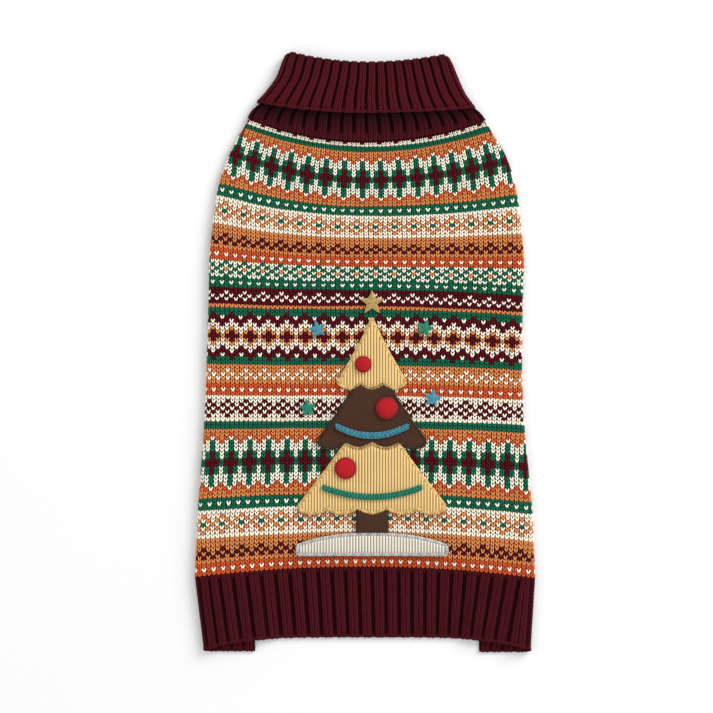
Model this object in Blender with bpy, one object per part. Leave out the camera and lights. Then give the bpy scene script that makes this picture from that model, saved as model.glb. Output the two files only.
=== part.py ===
"""Dog sweater laid flat with its back up: patterned knit body, ribbed collar and hem, applique.

Metres, +Z up. The sweater rests on z = 0 with its collar towards +Y, and the origin lies under
the middle of its outline. Tables are in millimetres.
"""
import math
from collections import namedtuple

import bmesh
import bpy

MM = 0.001

# Cloth, in millimetres
BODY_WALL = 2.4          # two-colour knit with its floats
RIB_WALL = 1.9           # rib knit at a valley
RIB_HEIGHT = 1.0         # how far a rib stands over its valleys
LAYER_GAP = 0.4          # air between two layers that lie on each other
SEAM_GAP = 0.3           # between two pieces that are sewn together
LAYER_LIFT = BODY_WALL + LAYER_GAP
FOLD_PUFF = 2.0          # how much higher the side rolls stand than the flat layers
PUFF_REACH = 13.0        # how far in from the fold that height dies away
FOLD_ANGLES = (36, 72, 108, 144)

# Body. Each course is a curve across the garment: its height at the middle and at both folds.
Course = namedtuple("Course", "centre_y left_x left_y right_x right_y")
BODY_COURSES = (
    Course(169.2, -94.4, 188.0, 97.0, 186.4),
    Course(138.4, -108.8, 160.8, 113.6, 154.4),
    Course(113.6, -118.4, 132.0, 123.2, 122.4),
    Course(72.8, -124.8, 80.4, 128.0, 72.0),
    Course(50.4, -125.6, 53.6, 127.0, 45.6),
    Course(-8.0, -127.2, -6.8, 126.4, -12.4),
    Course(-57.2, -129.4, -57.6, 128.4, -60.8),
    Course(-116.8, -134.0, -121.6, 134.4, -124.4),
    Course(-171.2, -136.8, -179.2, 136.8, -180.0),
)
COURSE_BOW = 2.0         # power of the curve that a course follows from its middle to its ends
STRIP_WIDTH = 47.0       # how far the back goes on under the garment
FLAP_WIDTH = 41.6        # and the hem band at its lower edge
BELLY_END = -138.0       # the belly panel's lower edge, as a course's height at the middle
BELLY_BAND = 12.0
SINK_START = 1.0         # past the under layer's edge the top layer sinks to the table
SINK_SIDE = 12.0
SINK_END = 24.0
CUT_OUT_TOP = BELLY_END - SEAM_GAP - BELLY_BAND

# Largest soft folds of the back: middle, length and width to half height, turn, height
Crease = namedtuple("Crease", "x y half_length half_width turn height")
CREASES = (
    Crease(-100, 128, 26, 7, 62, 1.3),
    Crease(104, 120, 26, 7, -60, 1.2),
    Crease(-84, 150, 24, 6, 40, 0.9),
    Crease(88, 148, 24, 6, -42, 0.9),
    Crease(-108, 20, 34, 8, 86, 0.9),
    Crease(108, -30, 40, 8, -86, 0.9),
    Crease(-96, -150, 34, 7, 8, 1.2),
    Crease(98, -152, 34, 7, -9, 1.2),
    Crease(-104, -92, 28, 7, 78, 0.8),
    Crease(10, 122, 46, 6, 3, 0.6),
)

# Hem band
HEM_RIBS = 25
HEM_EDGE = Course(-227.4, -129.6, -237.4, 133.2, -237.6)
HEM_BOW = 4.0            # the top layer's edge is straight in the middle and dips at the corners
FLAP_EDGE_LEFT = -238.6
FLAP_EDGE_RIGHT = -239.2
HEM_ROWS = (0.0, 0.3, 0.65, 1.0)
EDGE_ROUND = 0.6         # how far a free edge bulges past its last row

# Front-leg openings, in the under layer where strip and belly meet
LEG_Y = 92.0
LEG_OUTER = (28.0, 34.0)  # half width and half length of the band round the opening
LEG_BAND = 8.0
LEG_SIDES = 32

# Collar: a stand from the neck seam up to the top fold, turned down outside to its free edge
COLLAR_RIBS = 18
COLLAR_WALL = 1.8
CollarRow = namedtuple("CollarRow", "centre_y left_x left_y right_x right_y mid_z half bulge drop")
TURNOVER_ROWS = (
    CollarRow(193.6, -86.4, 200.5, 88.0, 197.6, 4.4, 4.4, 1.2, 0.0),
    CollarRow(205.0, -79.4, 209.6, 80.8, 207.6, 4.4, 4.4, 1.5, 0.0),
    CollarRow(219.0, -71.0, 221.6, 73.6, 221.8, 4.4, 4.4, 1.4, 0.0),
    CollarRow(233.0, -64.6, 240.74, 67.4, 239.8, 4.4, 4.4, 0.6, 5.0),
)
STAND_ROWS = (
    CollarRow(233.0, -62.0, 240.74, 64.8, 239.8, 4.4, 2.2, 0.6, 5.0),
    CollarRow(219.0, -68.4, 221.6, 71.0, 221.8, 4.4, 2.2, 1.4, 0.0),
    CollarRow(193.6, -83.6, 200.3, 84.6, 198.0, 4.4, 2.2, 1.2, 0.0),
    CollarRow(188.6, -88.6, 196.2, 90.0, 194.4, 4.1, 2.4, 1.0, 0.0),
    CollarRow(179.0, -92.6, 191.8, 95.0, 189.6, 3.3, 2.8, 0.5, 0.0),
    CollarRow(169.2, -94.4, 188.0, 97.0, 186.4, 3.1, 3.1, 0.0, 0.0),
)
CORNER_START = 0.9       # from here to the side, a row's corner is rounded down by its drop
RIB_PHASES = ((0.0, 0.0), (0.22, 0.85), (0.5, 1.0), (0.78, 0.85))  # place in a rib, height
SIDE_ANGLES = (60, 20, -20, -60)

# Applique, in the photograph's place: middle at TREE_X, heights up the garment
TREE_X = 5.6
Tier = namedtuple("Tier", "name apex corner half_width scallops columns rows")
TIERS = (
    Tier("tree_top_tier", 28.0, -24.0, 27.2, 3, 12, 5),
    Tier("tree_middle_tier", -2.0, -72.0, 44.0, 4, 16, 5),
    Tier("tree_bottom_tier", -38.0, -124.0, 60.0, 5, 20, 5),
)
TIER_CURVE = 1.15        # over 1 makes a tier's sides hollow
SCALLOP_DEPTH = 4.0
TIER_THICK = 1.8
TRUNK_HALF = 12.8
MOUND_HALF = 59.6
MOUND_TOP = -145.0
MOUND_BOTTOM = -161.0
PILE_THICK = 2.6         # plush and thick corduroy
Swag = namedtuple("Swag", "name half_width end_y sag")
SWAGS = (
    Swag("garland_blue", 29.0, -58.0, 8.0),
    Swag("garland_green", 40.0, -107.0, 8.0),
)
SWAG_WIDTH = 5.0
SWAG_THICK = 1.6
Bauble = namedtuple("Bauble", "name x y radius")
BAUBLES = (
    Bauble("bauble_top", -1.5, -9.0, 6.0),
    Bauble("bauble_middle", 17.5, -44.0, 8.0),
    Bauble("bauble_bottom", -15.5, -92.0, 8.0),
)
BAUBLE_THICK = 3.2
Star = namedtuple("Star", "name x y radius turn")
STARS = (
    Star("star_gold", 5.6, 40.2, 10.0, 0),
    Star("star_blue_upper", -38.0, 19.0, 7.5, 14),
    Star("star_blue_lower", 54.0, -36.0, 7.5, -10),
    Star("star_green_upper", 48.0, 20.0, 7.5, -16),
    Star("star_green_lower", -46.0, -44.0, 7.5, 8),
)
STAR_WAIST = 0.45        # a star's inner corners, as a share of its radius
STAR_THICK = 1.4

# Colour, roughness
COLOURS = {
    "knit": ((0.55, 0.42, 0.33), 0.9),
    "rib": ((0.10, 0.006, 0.016), 0.92),
    "tan_corduroy": ((0.62, 0.36, 0.14), 0.85),
    "cream_corduroy": ((0.86, 0.82, 0.70), 0.85),
    "brown_plush": ((0.05, 0.022, 0.012), 0.95),
    "red_felt": ((0.52, 0.012, 0.02), 0.9),
    "blue_thread": ((0.08, 0.30, 0.55), 0.5),
    "green_thread": ((0.01, 0.22, 0.12), 0.5),
    "gold_thread": ((0.62, 0.40, 0.10), 0.4),
}


def lerp(start, end, share):
    return start + (end - start) * share


def smoothstep(value):
    value = min(max(value, 0.0), 1.0)
    return value * value * (3.0 - 2.0 * value)


def read_table(table, key):
    """The table's row at key, on a smooth curve through its rows. The first column is the key."""
    last = len(table) - 1
    direction = 1.0 if table[last][0] > table[0][0] else -1.0
    low = 0
    while low < last - 1 and (key - table[low + 1][0]) * direction >= 0.0:
        low += 1
    start, end = table[low], table[low + 1]
    before, after = table[max(low - 1, 0)], table[min(low + 2, last)]
    step = end[0] - start[0]
    share = (key - start[0]) / step
    values = [key]
    for column in range(1, len(start)):
        leave = (end[column] - before[column]) / (end[0] - before[0]) * step
        arrive = (after[column] - start[column]) / (after[0] - start[0]) * step
        square, cube = share * share, share * share * share
        values.append(
            (2 * cube - 3 * square + 1) * start[column]
            + (cube - 2 * square + share) * leave
            + (3 * square - 2 * cube) * end[column]
            + (cube - square) * arrive
        )
    return type(start)(*values)


def course_y(course, x, bow=COURSE_BOW):
    """Height on the table of a course at x: bowed from its middle to its ends."""
    middle = (course.left_x + course.right_x) / 2
    if x < middle:
        return lerp(course.centre_y, course.left_y, abs((x - middle) / (course.left_x - middle)) ** bow)
    return lerp(course.centre_y, course.right_y, abs((x - middle) / (course.right_x - middle)) ** bow)


def crease_height(x, y):
    total = 0.0
    for crease in CREASES:
        turn = math.radians(crease.turn)
        along = (x - crease.x) * math.cos(turn) + (y - crease.y) * math.sin(turn)
        across = (y - crease.y) * math.cos(turn) - (x - crease.x) * math.sin(turn)
        reach = (along / crease.half_length) ** 2 + (across / crease.half_width) ** 2
        total += crease.height * math.exp(-0.7 * reach)
    return total


def strip_ends(course, width=STRIP_WIDTH):
    """Where the strips under the garment end, for the back at the side seams of the belly."""
    return course.left_x + width, course.right_x - width


def underside(course, x):
    """Height of the top layer's inner face: on the under layer, or on the table in the cut-out."""
    left, right = strip_ends(course)
    sink = smoothstep((x - left - SINK_START) / SINK_SIDE)
    sink *= smoothstep((right - x - SINK_START) / SINK_SIDE)
    sink *= smoothstep((CUT_OUT_TOP - SINK_START - course.centre_y) / SINK_END)
    inset = min(x - course.left_x, course.right_x - x)
    puff = FOLD_PUFF * math.exp(-((max(inset - fold_radius(BODY_WALL), 0.0) / PUFF_REACH) ** 2))
    edge = smoothstep((inset - fold_radius(BODY_WALL)) / 8.0)
    crease = crease_height(x, course_y(course, x)) * edge * (1.0 - 0.7 * sink)
    return LAYER_LIFT * (1.0 - sink) + puff + crease


def fold_radius(wall):
    return (LAYER_LIFT + FOLD_PUFF + wall) / 2


def course_through(x, y):
    """The body course that passes through a point of the table."""
    high, low = BODY_COURSES[0].centre_y + 30.0, BODY_COURSES[-1].centre_y - 30.0
    for _ in range(40):
        middle = (high + low) / 2
        if course_y(read_table(BODY_COURSES, middle), x) > y:
            high = middle
        else:
            low = middle
    return read_table(BODY_COURSES, (high + low) / 2)


def panel_top(x, y):
    """Height of the back panel's outer face over a point of the table."""
    return underside(course_through(x, y), x) + BODY_WALL


# Meshes

def make_material(name):
    colour, roughness = COLOURS[name]
    material = bpy.data.materials.get(name)
    if material is None:
        material = bpy.data.materials.new(name)
        material.use_nodes = True
        shader = material.node_tree.nodes["Principled BSDF"]
        shader.inputs["Base Color"].default_value = (*colour, 1.0)
        shader.inputs["Roughness"].default_value = roughness
        shader.inputs["Metallic"].default_value = 0.0
    return material


def make_object(name, points, faces, material):
    """One object from points in millimetres, its faces turned outwards."""
    mesh = bpy.data.meshes.new(name)
    shape = bmesh.new()
    verts = [shape.verts.new((x * MM, y * MM, z * MM)) for x, y, z in points]
    for face in faces:
        shape.faces.new([verts[index] for index in face])
    bmesh.ops.recalc_face_normals(shape, faces=shape.faces)
    shape.to_mesh(mesh)
    shape.free()
    mesh.shade_smooth()
    mesh.set_sharp_from_angle(angle=math.radians(50))
    piece = bpy.data.objects.new(name, mesh)
    piece.data.materials.append(make_material(material))
    bpy.context.scene.collection.objects.link(piece)
    return piece


def slab_mesh(outer, inner, end_row=None):
    """Points and faces of a wall between two grids of rows, with an extra row round its end."""
    columns = len(outer[0])
    points = [point for row in outer for point in row] + [point for row in inner for point in row]
    lift = len(outer) * columns
    faces = []
    for row in range(len(outer) - 1):
        for column in range(columns - 1):
            corner = row * columns + column
            quad = (corner, corner + 1, corner + columns + 1, corner + columns)
            faces.append(quad)
            faces.append(tuple(lift + index for index in reversed(quad)))
        for side in (0, columns - 1):
            near = row * columns + side
            faces.append((near, near + columns, lift + near + columns, lift + near))
    last = (len(outer) - 1) * columns
    for column in range(columns - 1):
        faces.append((column, column + 1, lift + column + 1, lift + column))
        if end_row is None:
            edge = last + column
            faces.append((edge, edge + 1, lift + edge + 1, lift + edge))
    if end_row is not None:
        extra = len(points)
        points.extend(end_row)
        for column in range(columns - 1):
            edge, rim = last + column, extra + column
            faces.append((edge, edge + 1, rim + 1, rim))
            faces.append((rim, rim + 1, lift + edge + 1, lift + edge))
        for side in (0, columns - 1):
            faces.append((last + side, extra + side, lift + last + side))
    return points, faces


def even(start, end, steps):
    """Places from start to end, without the last one."""
    return [lerp(start, end, step / steps) for step in range(steps)]


# Back, belly and their bands

def top_places(course):
    """Places of the top layer's columns: closer together where it sinks past the strips."""
    radius = fold_radius(BODY_WALL)
    left, right = strip_ends(course)
    first, last = course.left_x + radius, course.right_x - radius
    sunk = SINK_START + SINK_SIDE
    places = even(first, left + SINK_START, 4) + even(left + SINK_START, left + sunk, 3)
    places += even(left + sunk, right - sunk, 9)
    places += even(right - sunk, right - SINK_START, 3) + even(right - SINK_START, last, 4)
    return places + [last]


def wrapped_row(course, wall, top, relief, y_top, y_under, strip=STRIP_WIDTH):
    """Outer and inner points of one row, from the left strip's end round to the right strip's."""
    radius = fold_radius(wall)
    height = LAYER_LIFT + FOLD_PUFF
    inner_half = (height - wall) / 2
    strip_left, strip_right = strip_ends(course, strip)
    left, right = course.left_x + radius, course.right_x - radius
    outer, inner = [], []

    def under(x):
        outer.append((x, y_under(x), 0.0))
        inner.append((x, y_under(x), wall))

    def fold(centre, side, angle):
        reach, rise = math.sin(math.radians(angle)), 1.0 - math.cos(math.radians(angle))
        y = lerp(y_under(centre), y_top(centre), rise / 2)
        outer.append((centre + side * radius * reach, y, (height + wall) / 2 * rise))
        inner.append((centre + side * (radius - wall) * reach, y, wall + inner_half * rise))

    for x in (strip_left, lerp(strip_left, left, 0.5), left):
        under(x)
    for angle in FOLD_ANGLES:
        fold(left, -1.0, angle)
    for number, x in enumerate(top):
        base = underside(course, x)
        outer.append((x, y_top(x), base + wall + relief(number)))
        inner.append((x, y_top(x), base))
    for angle in reversed(FOLD_ANGLES):
        fold(right, 1.0, angle)
    for x in (right, lerp(strip_right, right, 0.5), strip_right):
        under(x)
    return outer, inner


def body_row_places():
    """Heights of the back panel's rows: closer together where the top layer sinks."""
    sink = CUT_OUT_TOP - SINK_START
    first, last = BODY_COURSES[0].centre_y, BODY_COURSES[-1].centre_y
    return even(first, sink, 23) + even(sink, last, 5) + [last]


def make_back_panel():
    outer, inner = [], []
    for centre_y in body_row_places():
        course = read_table(BODY_COURSES, centre_y)

        def height(x, course=course):
            return course_y(course, x)

        row = wrapped_row(course, BODY_WALL, top_places(course), lambda number: 0.0, height, height)
        outer.append(row[0])
        inner.append(row[1])
    return make_object("back_panel", *slab_mesh(outer, inner), "knit")


def under_slab(name, first, last, rows, material, wall):
    """A flat piece of the under layer between the strips, from one course to another."""
    outer, inner = [], []
    for centre_y in even(first, last, rows) + [last]:
        course = read_table(BODY_COURSES, centre_y)
        left, right = strip_ends(course)
        places = even(left + SEAM_GAP, right - SEAM_GAP, 8) + [right - SEAM_GAP]
        outer.append([(x, course_y(course, x), wall) for x in places])
        inner.append([(x, course_y(course, x), 0.0) for x in places])
    return make_object(name, *slab_mesh(outer, inner), material)


def leg_centre(side):
    """Middle of a front-leg opening, on the side seam. side is -1 on the left."""
    strip_left, strip_right = strip_ends(course_through(0.0, LEG_Y))
    return strip_left if side < 0 else strip_right


def oval(centre_x, half_width, half_length, z):
    ring = []
    for number in range(LEG_SIDES):
        angle = 2 * math.pi * number / LEG_SIDES
        ring.append((centre_x + half_width * math.cos(angle), LEG_Y + half_length * math.sin(angle), z))
    return ring


def ring_faces(rings):
    """Faces of a closed tube through rings of the same number of points."""
    count = len(rings[0])
    faces = []
    for number in range(len(rings)):
        following = (number + 1) % len(rings)
        for corner in range(count):
            beside = (corner + 1) % count
            faces.append((number * count + corner, number * count + beside,
                          following * count + beside, following * count + corner))
    return faces


def make_leg_band(name, side):
    x = leg_centre(side)
    inside = [size - LEG_BAND for size in LEG_OUTER]
    rings = [oval(x, *LEG_OUTER, 0.0), oval(x, *LEG_OUTER, BODY_WALL),
             oval(x, *inside, BODY_WALL), oval(x, *inside, 0.0)]
    points = [point for ring in rings for point in ring]
    return make_object(name, points, ring_faces(rings), "rib")


def make_leg_cutter(name, side):
    """The hole in strip and belly that a leg band sits in, below the top layer."""
    x = leg_centre(side)
    sizes = [size + SEAM_GAP for size in LEG_OUTER]
    low, high = oval(x, *sizes, -1.0), oval(x, *sizes, BODY_WALL + LAYER_GAP / 2)
    faces = [(corner, (corner + 1) % LEG_SIDES, LEG_SIDES + (corner + 1) % LEG_SIDES, LEG_SIDES + corner)
             for corner in range(LEG_SIDES)]
    faces += [tuple(range(LEG_SIDES)), tuple(range(2 * LEG_SIDES - 1, LEG_SIDES - 1, -1))]
    cutter = make_object(name, low + high, faces, "rib")
    cutter.hide_render = True
    cutter.display_type = "WIRE"
    return cutter


def cut(piece, cutters):
    for cutter in cutters:
        modifier = piece.modifiers.new(cutter.name, "BOOLEAN")
        modifier.operation = "DIFFERENCE"
        modifier.object = cutter


# Rib pieces

def rib_columns(ribs):
    """Places from -1 to 1 across a ribbed stretch, each with its height as a share of a rib's."""
    columns = []
    for rib in range(ribs):
        for phase, rise in RIB_PHASES:
            columns.append((2.0 * (rib + phase) / ribs - 1.0, rise))
    return columns + [(1.0, 0.0)]


def make_hem_band():
    columns = rib_columns(HEM_RIBS)
    seam = BODY_COURSES[-1]
    radius = fold_radius(RIB_WALL)
    outer, inner = [], []
    for share in HEM_ROWS:
        course = Course(*[lerp(a, b, share) for a, b in zip(seam, HEM_EDGE)])
        places = [lerp(course.left_x + radius, course.right_x - radius, (place + 1) / 2)
                  for place, _ in columns]

        def y_top(x, share=share, course=course):
            return lerp(course_y(seam, x), course_y(HEM_EDGE, x, HEM_BOW), share) - SEAM_GAP

        def y_under(x, share=share):
            flap = FLAP_EDGE_LEFT if x < 0 else FLAP_EDGE_RIGHT
            return lerp(course_y(seam, x), flap, share) - SEAM_GAP

        row = wrapped_row(course, RIB_WALL, places, lambda number: RIB_HEIGHT * columns[number][1],
                          y_top, y_under, lerp(STRIP_WIDTH, FLAP_WIDTH, share))
        outer.append(row[0])
        inner.append(row[1])
    rim = [((a[0] + b[0]) / 2, a[1] - EDGE_ROUND, (a[2] + b[2]) / 2) for a, b in zip(outer[-1], inner[-1])]
    return make_object("hem_band", *slab_mesh(outer, inner, rim), "rib")


def collar_stations():
    """Round the collar: along the top, round the right side, back below, round the left side."""
    stations = [("top", place, rise) for place, rise in rib_columns(COLLAR_RIBS)]
    stations += [("right", angle, 0.0) for angle in SIDE_ANGLES]
    stations += [("below", place, 0.0) for place in even(1.0, -1.0, 8) + [-1.0]]
    stations += [("left", angle, 0.0) for angle in reversed(SIDE_ANGLES)]
    return stations


def collar_loop(row, half, rib, shift=0.0, rib_shift=0.0):
    """One loop of the collar: a flattened oval whose half height is half, inside the row's own.

    rib is how far its top is raised at a rib's crest, and rib_shift how far it is moved up.
    """
    inset = row.half - half
    left, right = row.left_x + inset + half, row.right_x - inset - half
    outline = Course(row.centre_y, row.left_x, row.left_y, row.right_x, row.right_y)
    middle, half_width = (row.left_x + row.right_x) / 2, (row.right_x - row.left_x) / 2
    loop = []
    for place, value, rise in collar_stations():
        if place in ("top", "below"):
            x = lerp(left, right, (value + 1) / 2)
            bulge = row.bulge * (1 - value * value)
            z = row.mid_z + half + bulge + rise * rib if place == "top" else row.mid_z - half
        else:
            side = 1 if place == "right" else -1
            x = (right if side > 0 else left) + side * half * math.cos(math.radians(value))
            z = row.mid_z + half * math.sin(math.radians(value))
        corner = smoothstep((abs(x - middle) / half_width - CORNER_START) / (1.0 - CORNER_START))
        y = course_y(outline, x) - row.drop * corner
        loop.append((x, y + shift + rise * rib_shift, z))
    return loop


def make_collar():
    turn = TURNOVER_ROWS[-1]
    stand_half, top_half = STAND_ROWS[0].half, turn.half
    crest_radius = (top_half - (stand_half - COLLAR_WALL)) / 2
    crest_half = top_half - crest_radius
    seam_row = STAND_ROWS[-1]._replace(centre_y=STAND_ROWS[-1].centre_y + SEAM_GAP,
                                       left_y=STAND_ROWS[-1].left_y + SEAM_GAP,
                                       right_y=STAND_ROWS[-1].right_y + SEAM_GAP)
    stand = list(STAND_ROWS[:-1]) + [seam_row]
    loops = [collar_loop(TURNOVER_ROWS[0], top_half - COLLAR_WALL / 2, RIB_HEIGHT / 2, -EDGE_ROUND)]
    for row in TURNOVER_ROWS:
        shift = -crest_radius if row is turn else 0.0
        loops.append(collar_loop(row, row.half, RIB_HEIGHT, shift))
    for angle in (45, 90, 135):
        out, up = math.cos(math.radians(angle)), math.sin(math.radians(angle))
        loops.append(collar_loop(turn, crest_half + crest_radius * out, RIB_HEIGHT * max(out, 0.0),
                                 crest_radius * (up - 1.0), RIB_HEIGHT * up))
    for row in stand:
        shift = -crest_radius if row is stand[0] else 0.0
        loops.append(collar_loop(row, row.half - COLLAR_WALL, 0.0, shift))
    for row in reversed(stand):
        shift = -crest_radius if row is stand[0] else 0.0
        under_turnover = row.centre_y >= TURNOVER_ROWS[0].centre_y
        loops.append(collar_loop(row, row.half, 0.0 if under_turnover else RIB_HEIGHT, shift))
    for row in reversed(TURNOVER_ROWS):
        shift = -crest_radius if row is turn else 0.0
        loops.append(collar_loop(row, row.half - COLLAR_WALL, 0.0, shift))
    points = [point for loop in loops for point in loop]
    return make_object("collar", points, ring_faces(loops), "rib")


# Applique

def plate(name, places, low, high, rows, thick, base, material):
    """A patch laid on base: columns at places, each from low(x) to high(x), thinner at its rim."""
    top, bottom = [], []
    for column, x in enumerate(places):
        top_row, bottom_row = [], []
        for row in range(rows + 1):
            y = lerp(low(x), high(x), row / rows)
            rim = column in (0, len(places) - 1) or row in (0, rows)
            floor = base(x, y) + SEAM_GAP
            top_row.append((x, y, floor + thick * (0.55 if rim else 1.0)))
            bottom_row.append((x, y, floor))
        top.append(top_row)
        bottom.append(bottom_row)
    return make_object(name, *slab_mesh(top, bottom), material)


def tier_side(tier, x):
    """Height of a tier's slanting side over x."""
    return lerp(tier.apex, tier.corner, (abs(x - TREE_X) / tier.half_width) ** (1 / TIER_CURVE))


def tier_low(tier, x):
    """A tier's scalloped lower edge."""
    across = (x - TREE_X + tier.half_width) / (2 * tier.half_width)
    return tier.corner - SCALLOP_DEPTH * abs(math.sin(math.pi * tier.scallops * across))


def tier_high(number, x):
    tier = TIERS[number]
    edge = tier_side(tier, x)
    if number > 0 and abs(x - TREE_X) < TIERS[number - 1].half_width:
        edge = min(edge, tier_low(TIERS[number - 1], x) - SEAM_GAP)
    return edge


def tier_top(x, y):
    return panel_top(x, y) + SEAM_GAP + TIER_THICK


def mound_top(x):
    return MOUND_TOP - 9.0 * (abs(x - TREE_X) / MOUND_HALF) ** 2.4


def make_tiers():
    for number, tier in enumerate(TIERS):
        reach = tier.half_width * 0.97
        places = even(TREE_X - reach, TREE_X + reach, tier.columns) + [TREE_X + reach]
        plate(tier.name, places, lambda x, t=tier: tier_low(t, x), lambda x, n=number: tier_high(n, x),
              tier.rows, TIER_THICK, panel_top, "tan_corduroy" if number != 1 else "brown_plush")


def make_trunk_and_mound():
    places = even(TREE_X - TRUNK_HALF, TREE_X + TRUNK_HALF, 5) + [TREE_X + TRUNK_HALF]
    plate("tree_trunk", places, lambda x: mound_top(x) + SEAM_GAP,
          lambda x: tier_low(TIERS[-1], x) - SEAM_GAP, 4, PILE_THICK, panel_top, "brown_plush")
    places = even(TREE_X - MOUND_HALF, TREE_X + MOUND_HALF, 16) + [TREE_X + MOUND_HALF]
    plate("snow_mound", places, lambda x: MOUND_BOTTOM, mound_top, 4, PILE_THICK, panel_top,
          "cream_corduroy")


def make_swags():
    for swag, material in zip(SWAGS, ("blue_thread", "green_thread")):
        def middle(x, swag=swag):
            across = (x - TREE_X) / swag.half_width
            return swag.end_y - swag.sag * (1 - across * across)

        places = even(TREE_X - swag.half_width, TREE_X + swag.half_width, 14) + [TREE_X + swag.half_width]
        plate(swag.name, places, lambda x, m=middle: m(x) - SWAG_WIDTH / 2,
              lambda x, m=middle: m(x) + SWAG_WIDTH / 2, 3, SWAG_THICK, tier_top, material)


def fan_on(name, outline, centre, thick, rim_thick, base, material):
    """A patch with one middle point, laid on base, highest in its middle."""
    count = len(outline)
    points, faces = [], []
    for share, height in ((1.0, 0.0), (1.0, rim_thick), (0.62, lerp(rim_thick, thick, 0.75))):
        for x, y in outline:
            place = (lerp(centre[0], x, share), lerp(centre[1], y, share))
            points.append((*place, base(*place) + SEAM_GAP + height))
    peak = len(points)
    points.append((*centre, base(*centre) + SEAM_GAP + thick))
    points.append((*centre, base(*centre) + SEAM_GAP))
    for corner in range(count):
        beside = (corner + 1) % count
        for ring in (0, 1):
            faces.append((ring * count + corner, ring * count + beside,
                          (ring + 1) * count + beside, (ring + 1) * count + corner))
        faces.append((2 * count + corner, 2 * count + beside, peak))
        faces.append((beside, corner, peak + 1))
    return make_object(name, points, faces, material)


def make_baubles():
    for bauble in BAUBLES:
        angles = [2 * math.pi * number / 18 for number in range(18)]
        outline = [(bauble.x + bauble.radius * math.cos(a), bauble.y + bauble.radius * math.sin(a))
                   for a in angles]
        fan_on(bauble.name, outline, (bauble.x, bauble.y), BAUBLE_THICK, 0.9, tier_top, "red_felt")


def make_stars():
    threads = {"star_gold": "gold_thread", "star_blue": "blue_thread", "star_green": "green_thread"}
    for star in STARS:
        outline = []
        for number in range(10):
            angle = math.radians(90 + star.turn + 36 * number)
            reach = star.radius * (STAR_WAIST if number % 2 else 1.0)
            outline.append((star.x + reach * math.cos(angle), star.y + reach * math.sin(angle)))
        material = next(thread for start, thread in threads.items() if star.name.startswith(start))
        fan_on(star.name, outline, (star.x, star.y), STAR_THICK, 0.7, panel_top, material)


def main():
    for piece in list(bpy.data.objects):
        bpy.data.objects.remove(piece)
    back = make_back_panel()
    belly = under_slab("belly_panel", BODY_COURSES[0].centre_y, BELLY_END, 12, "knit", BODY_WALL)
    cutters = [make_leg_cutter("leg_cutter_left", -1), make_leg_cutter("leg_cutter_right", 1)]
    cut(back, cutters)
    cut(belly, cutters)
    under_slab("belly_band", BELLY_END - SEAM_GAP, CUT_OUT_TOP, 2, "rib", BODY_WALL)
    make_leg_band("leg_band_left", -1)
    make_leg_band("leg_band_right", 1)
    make_hem_band()
    make_collar()
    make_tiers()
    make_trunk_and_mound()
    make_swags()
    make_baubles()
    make_stars()


main()
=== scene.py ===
"""Looks of the knitted dog sweater: its stitches, ribs and applique, and the studio round it.

The sweater lies with its back up and its collar towards +Y. Tables are in millimetres.
"""
import math
from collections import namedtuple
from functools import partial

import bmesh
import bpy
import numpy as np
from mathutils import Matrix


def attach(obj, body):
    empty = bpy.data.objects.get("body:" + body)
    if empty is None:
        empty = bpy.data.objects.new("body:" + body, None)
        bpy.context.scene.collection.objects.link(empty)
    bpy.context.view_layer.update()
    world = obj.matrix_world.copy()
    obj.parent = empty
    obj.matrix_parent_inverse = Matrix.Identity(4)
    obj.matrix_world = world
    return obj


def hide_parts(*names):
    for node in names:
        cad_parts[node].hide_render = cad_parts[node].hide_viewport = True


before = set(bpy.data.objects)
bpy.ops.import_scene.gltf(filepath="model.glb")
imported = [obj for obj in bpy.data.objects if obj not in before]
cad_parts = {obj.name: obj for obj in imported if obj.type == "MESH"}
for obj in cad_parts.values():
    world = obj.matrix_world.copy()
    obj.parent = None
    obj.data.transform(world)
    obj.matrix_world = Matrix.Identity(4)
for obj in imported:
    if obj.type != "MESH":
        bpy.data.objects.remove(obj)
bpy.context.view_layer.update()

MM = 0.001

# Cloth
BODY_WALL = 2.4
RIB_WALL = 1.9
RIB_HEIGHT = 1.0
COLLAR_WALL = 1.8
LAYER_LIFT = 2.8         # the top layer's inner face over the table
SEAM_GAP = 0.3
FOLD_PUFF = 2.0          # how much higher the side rolls stand than the flat layers
PUFF_REACH = 13.0
YARN = 0.8               # how far a stitch stands over the cloth behind it
LOW_YARN = 0.9 * YARN    # the same on the collar and on the hem's flaps
VALLEY = 0.7             # how far the cloth sinks between two ribs

# Body. Each course is a curve across the garment: its height at the middle and at both folds.
Course = namedtuple("Course", "centre_y left_x left_y right_x right_y")
BODY_COURSES = (
    Course(169.2, -94.4, 188.0, 97.0, 186.4),
    Course(138.4, -108.8, 160.8, 115.2, 154.4),
    Course(113.6, -118.4, 132.0, 123.2, 122.4),
    Course(72.8, -124.8, 80.4, 128.0, 72.0),
    Course(50.4, -125.6, 53.6, 127.0, 45.6),
    Course(-8.0, -127.2, -6.8, 126.4, -12.4),
    Course(-57.2, -129.4, -57.6, 128.4, -60.8),
    Course(-116.8, -134.0, -121.6, 134.4, -124.4),
    Course(-171.2, -136.8, -179.2, 136.8, -180.0),
)
COURSE_BOW = 2.0
STRIP_WIDTH = 47.0       # how far the back goes on under the garment
FLAP_WIDTH = 41.6        # and the hem band at its lower edge
BELLY_END = -138.0
BELLY_BAND = 12.0
SINK_START = 1.0         # past the under layer's edge the top layer sinks to the table
SINK_SIDE = 12.0
SINK_END = 24.0
CUT_OUT_TOP = BELLY_END - SEAM_GAP - BELLY_BAND
SEARCH_MARGIN = 30.0     # past the body's ends, where the search for a point's course begins
HALVINGS = 30

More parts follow.
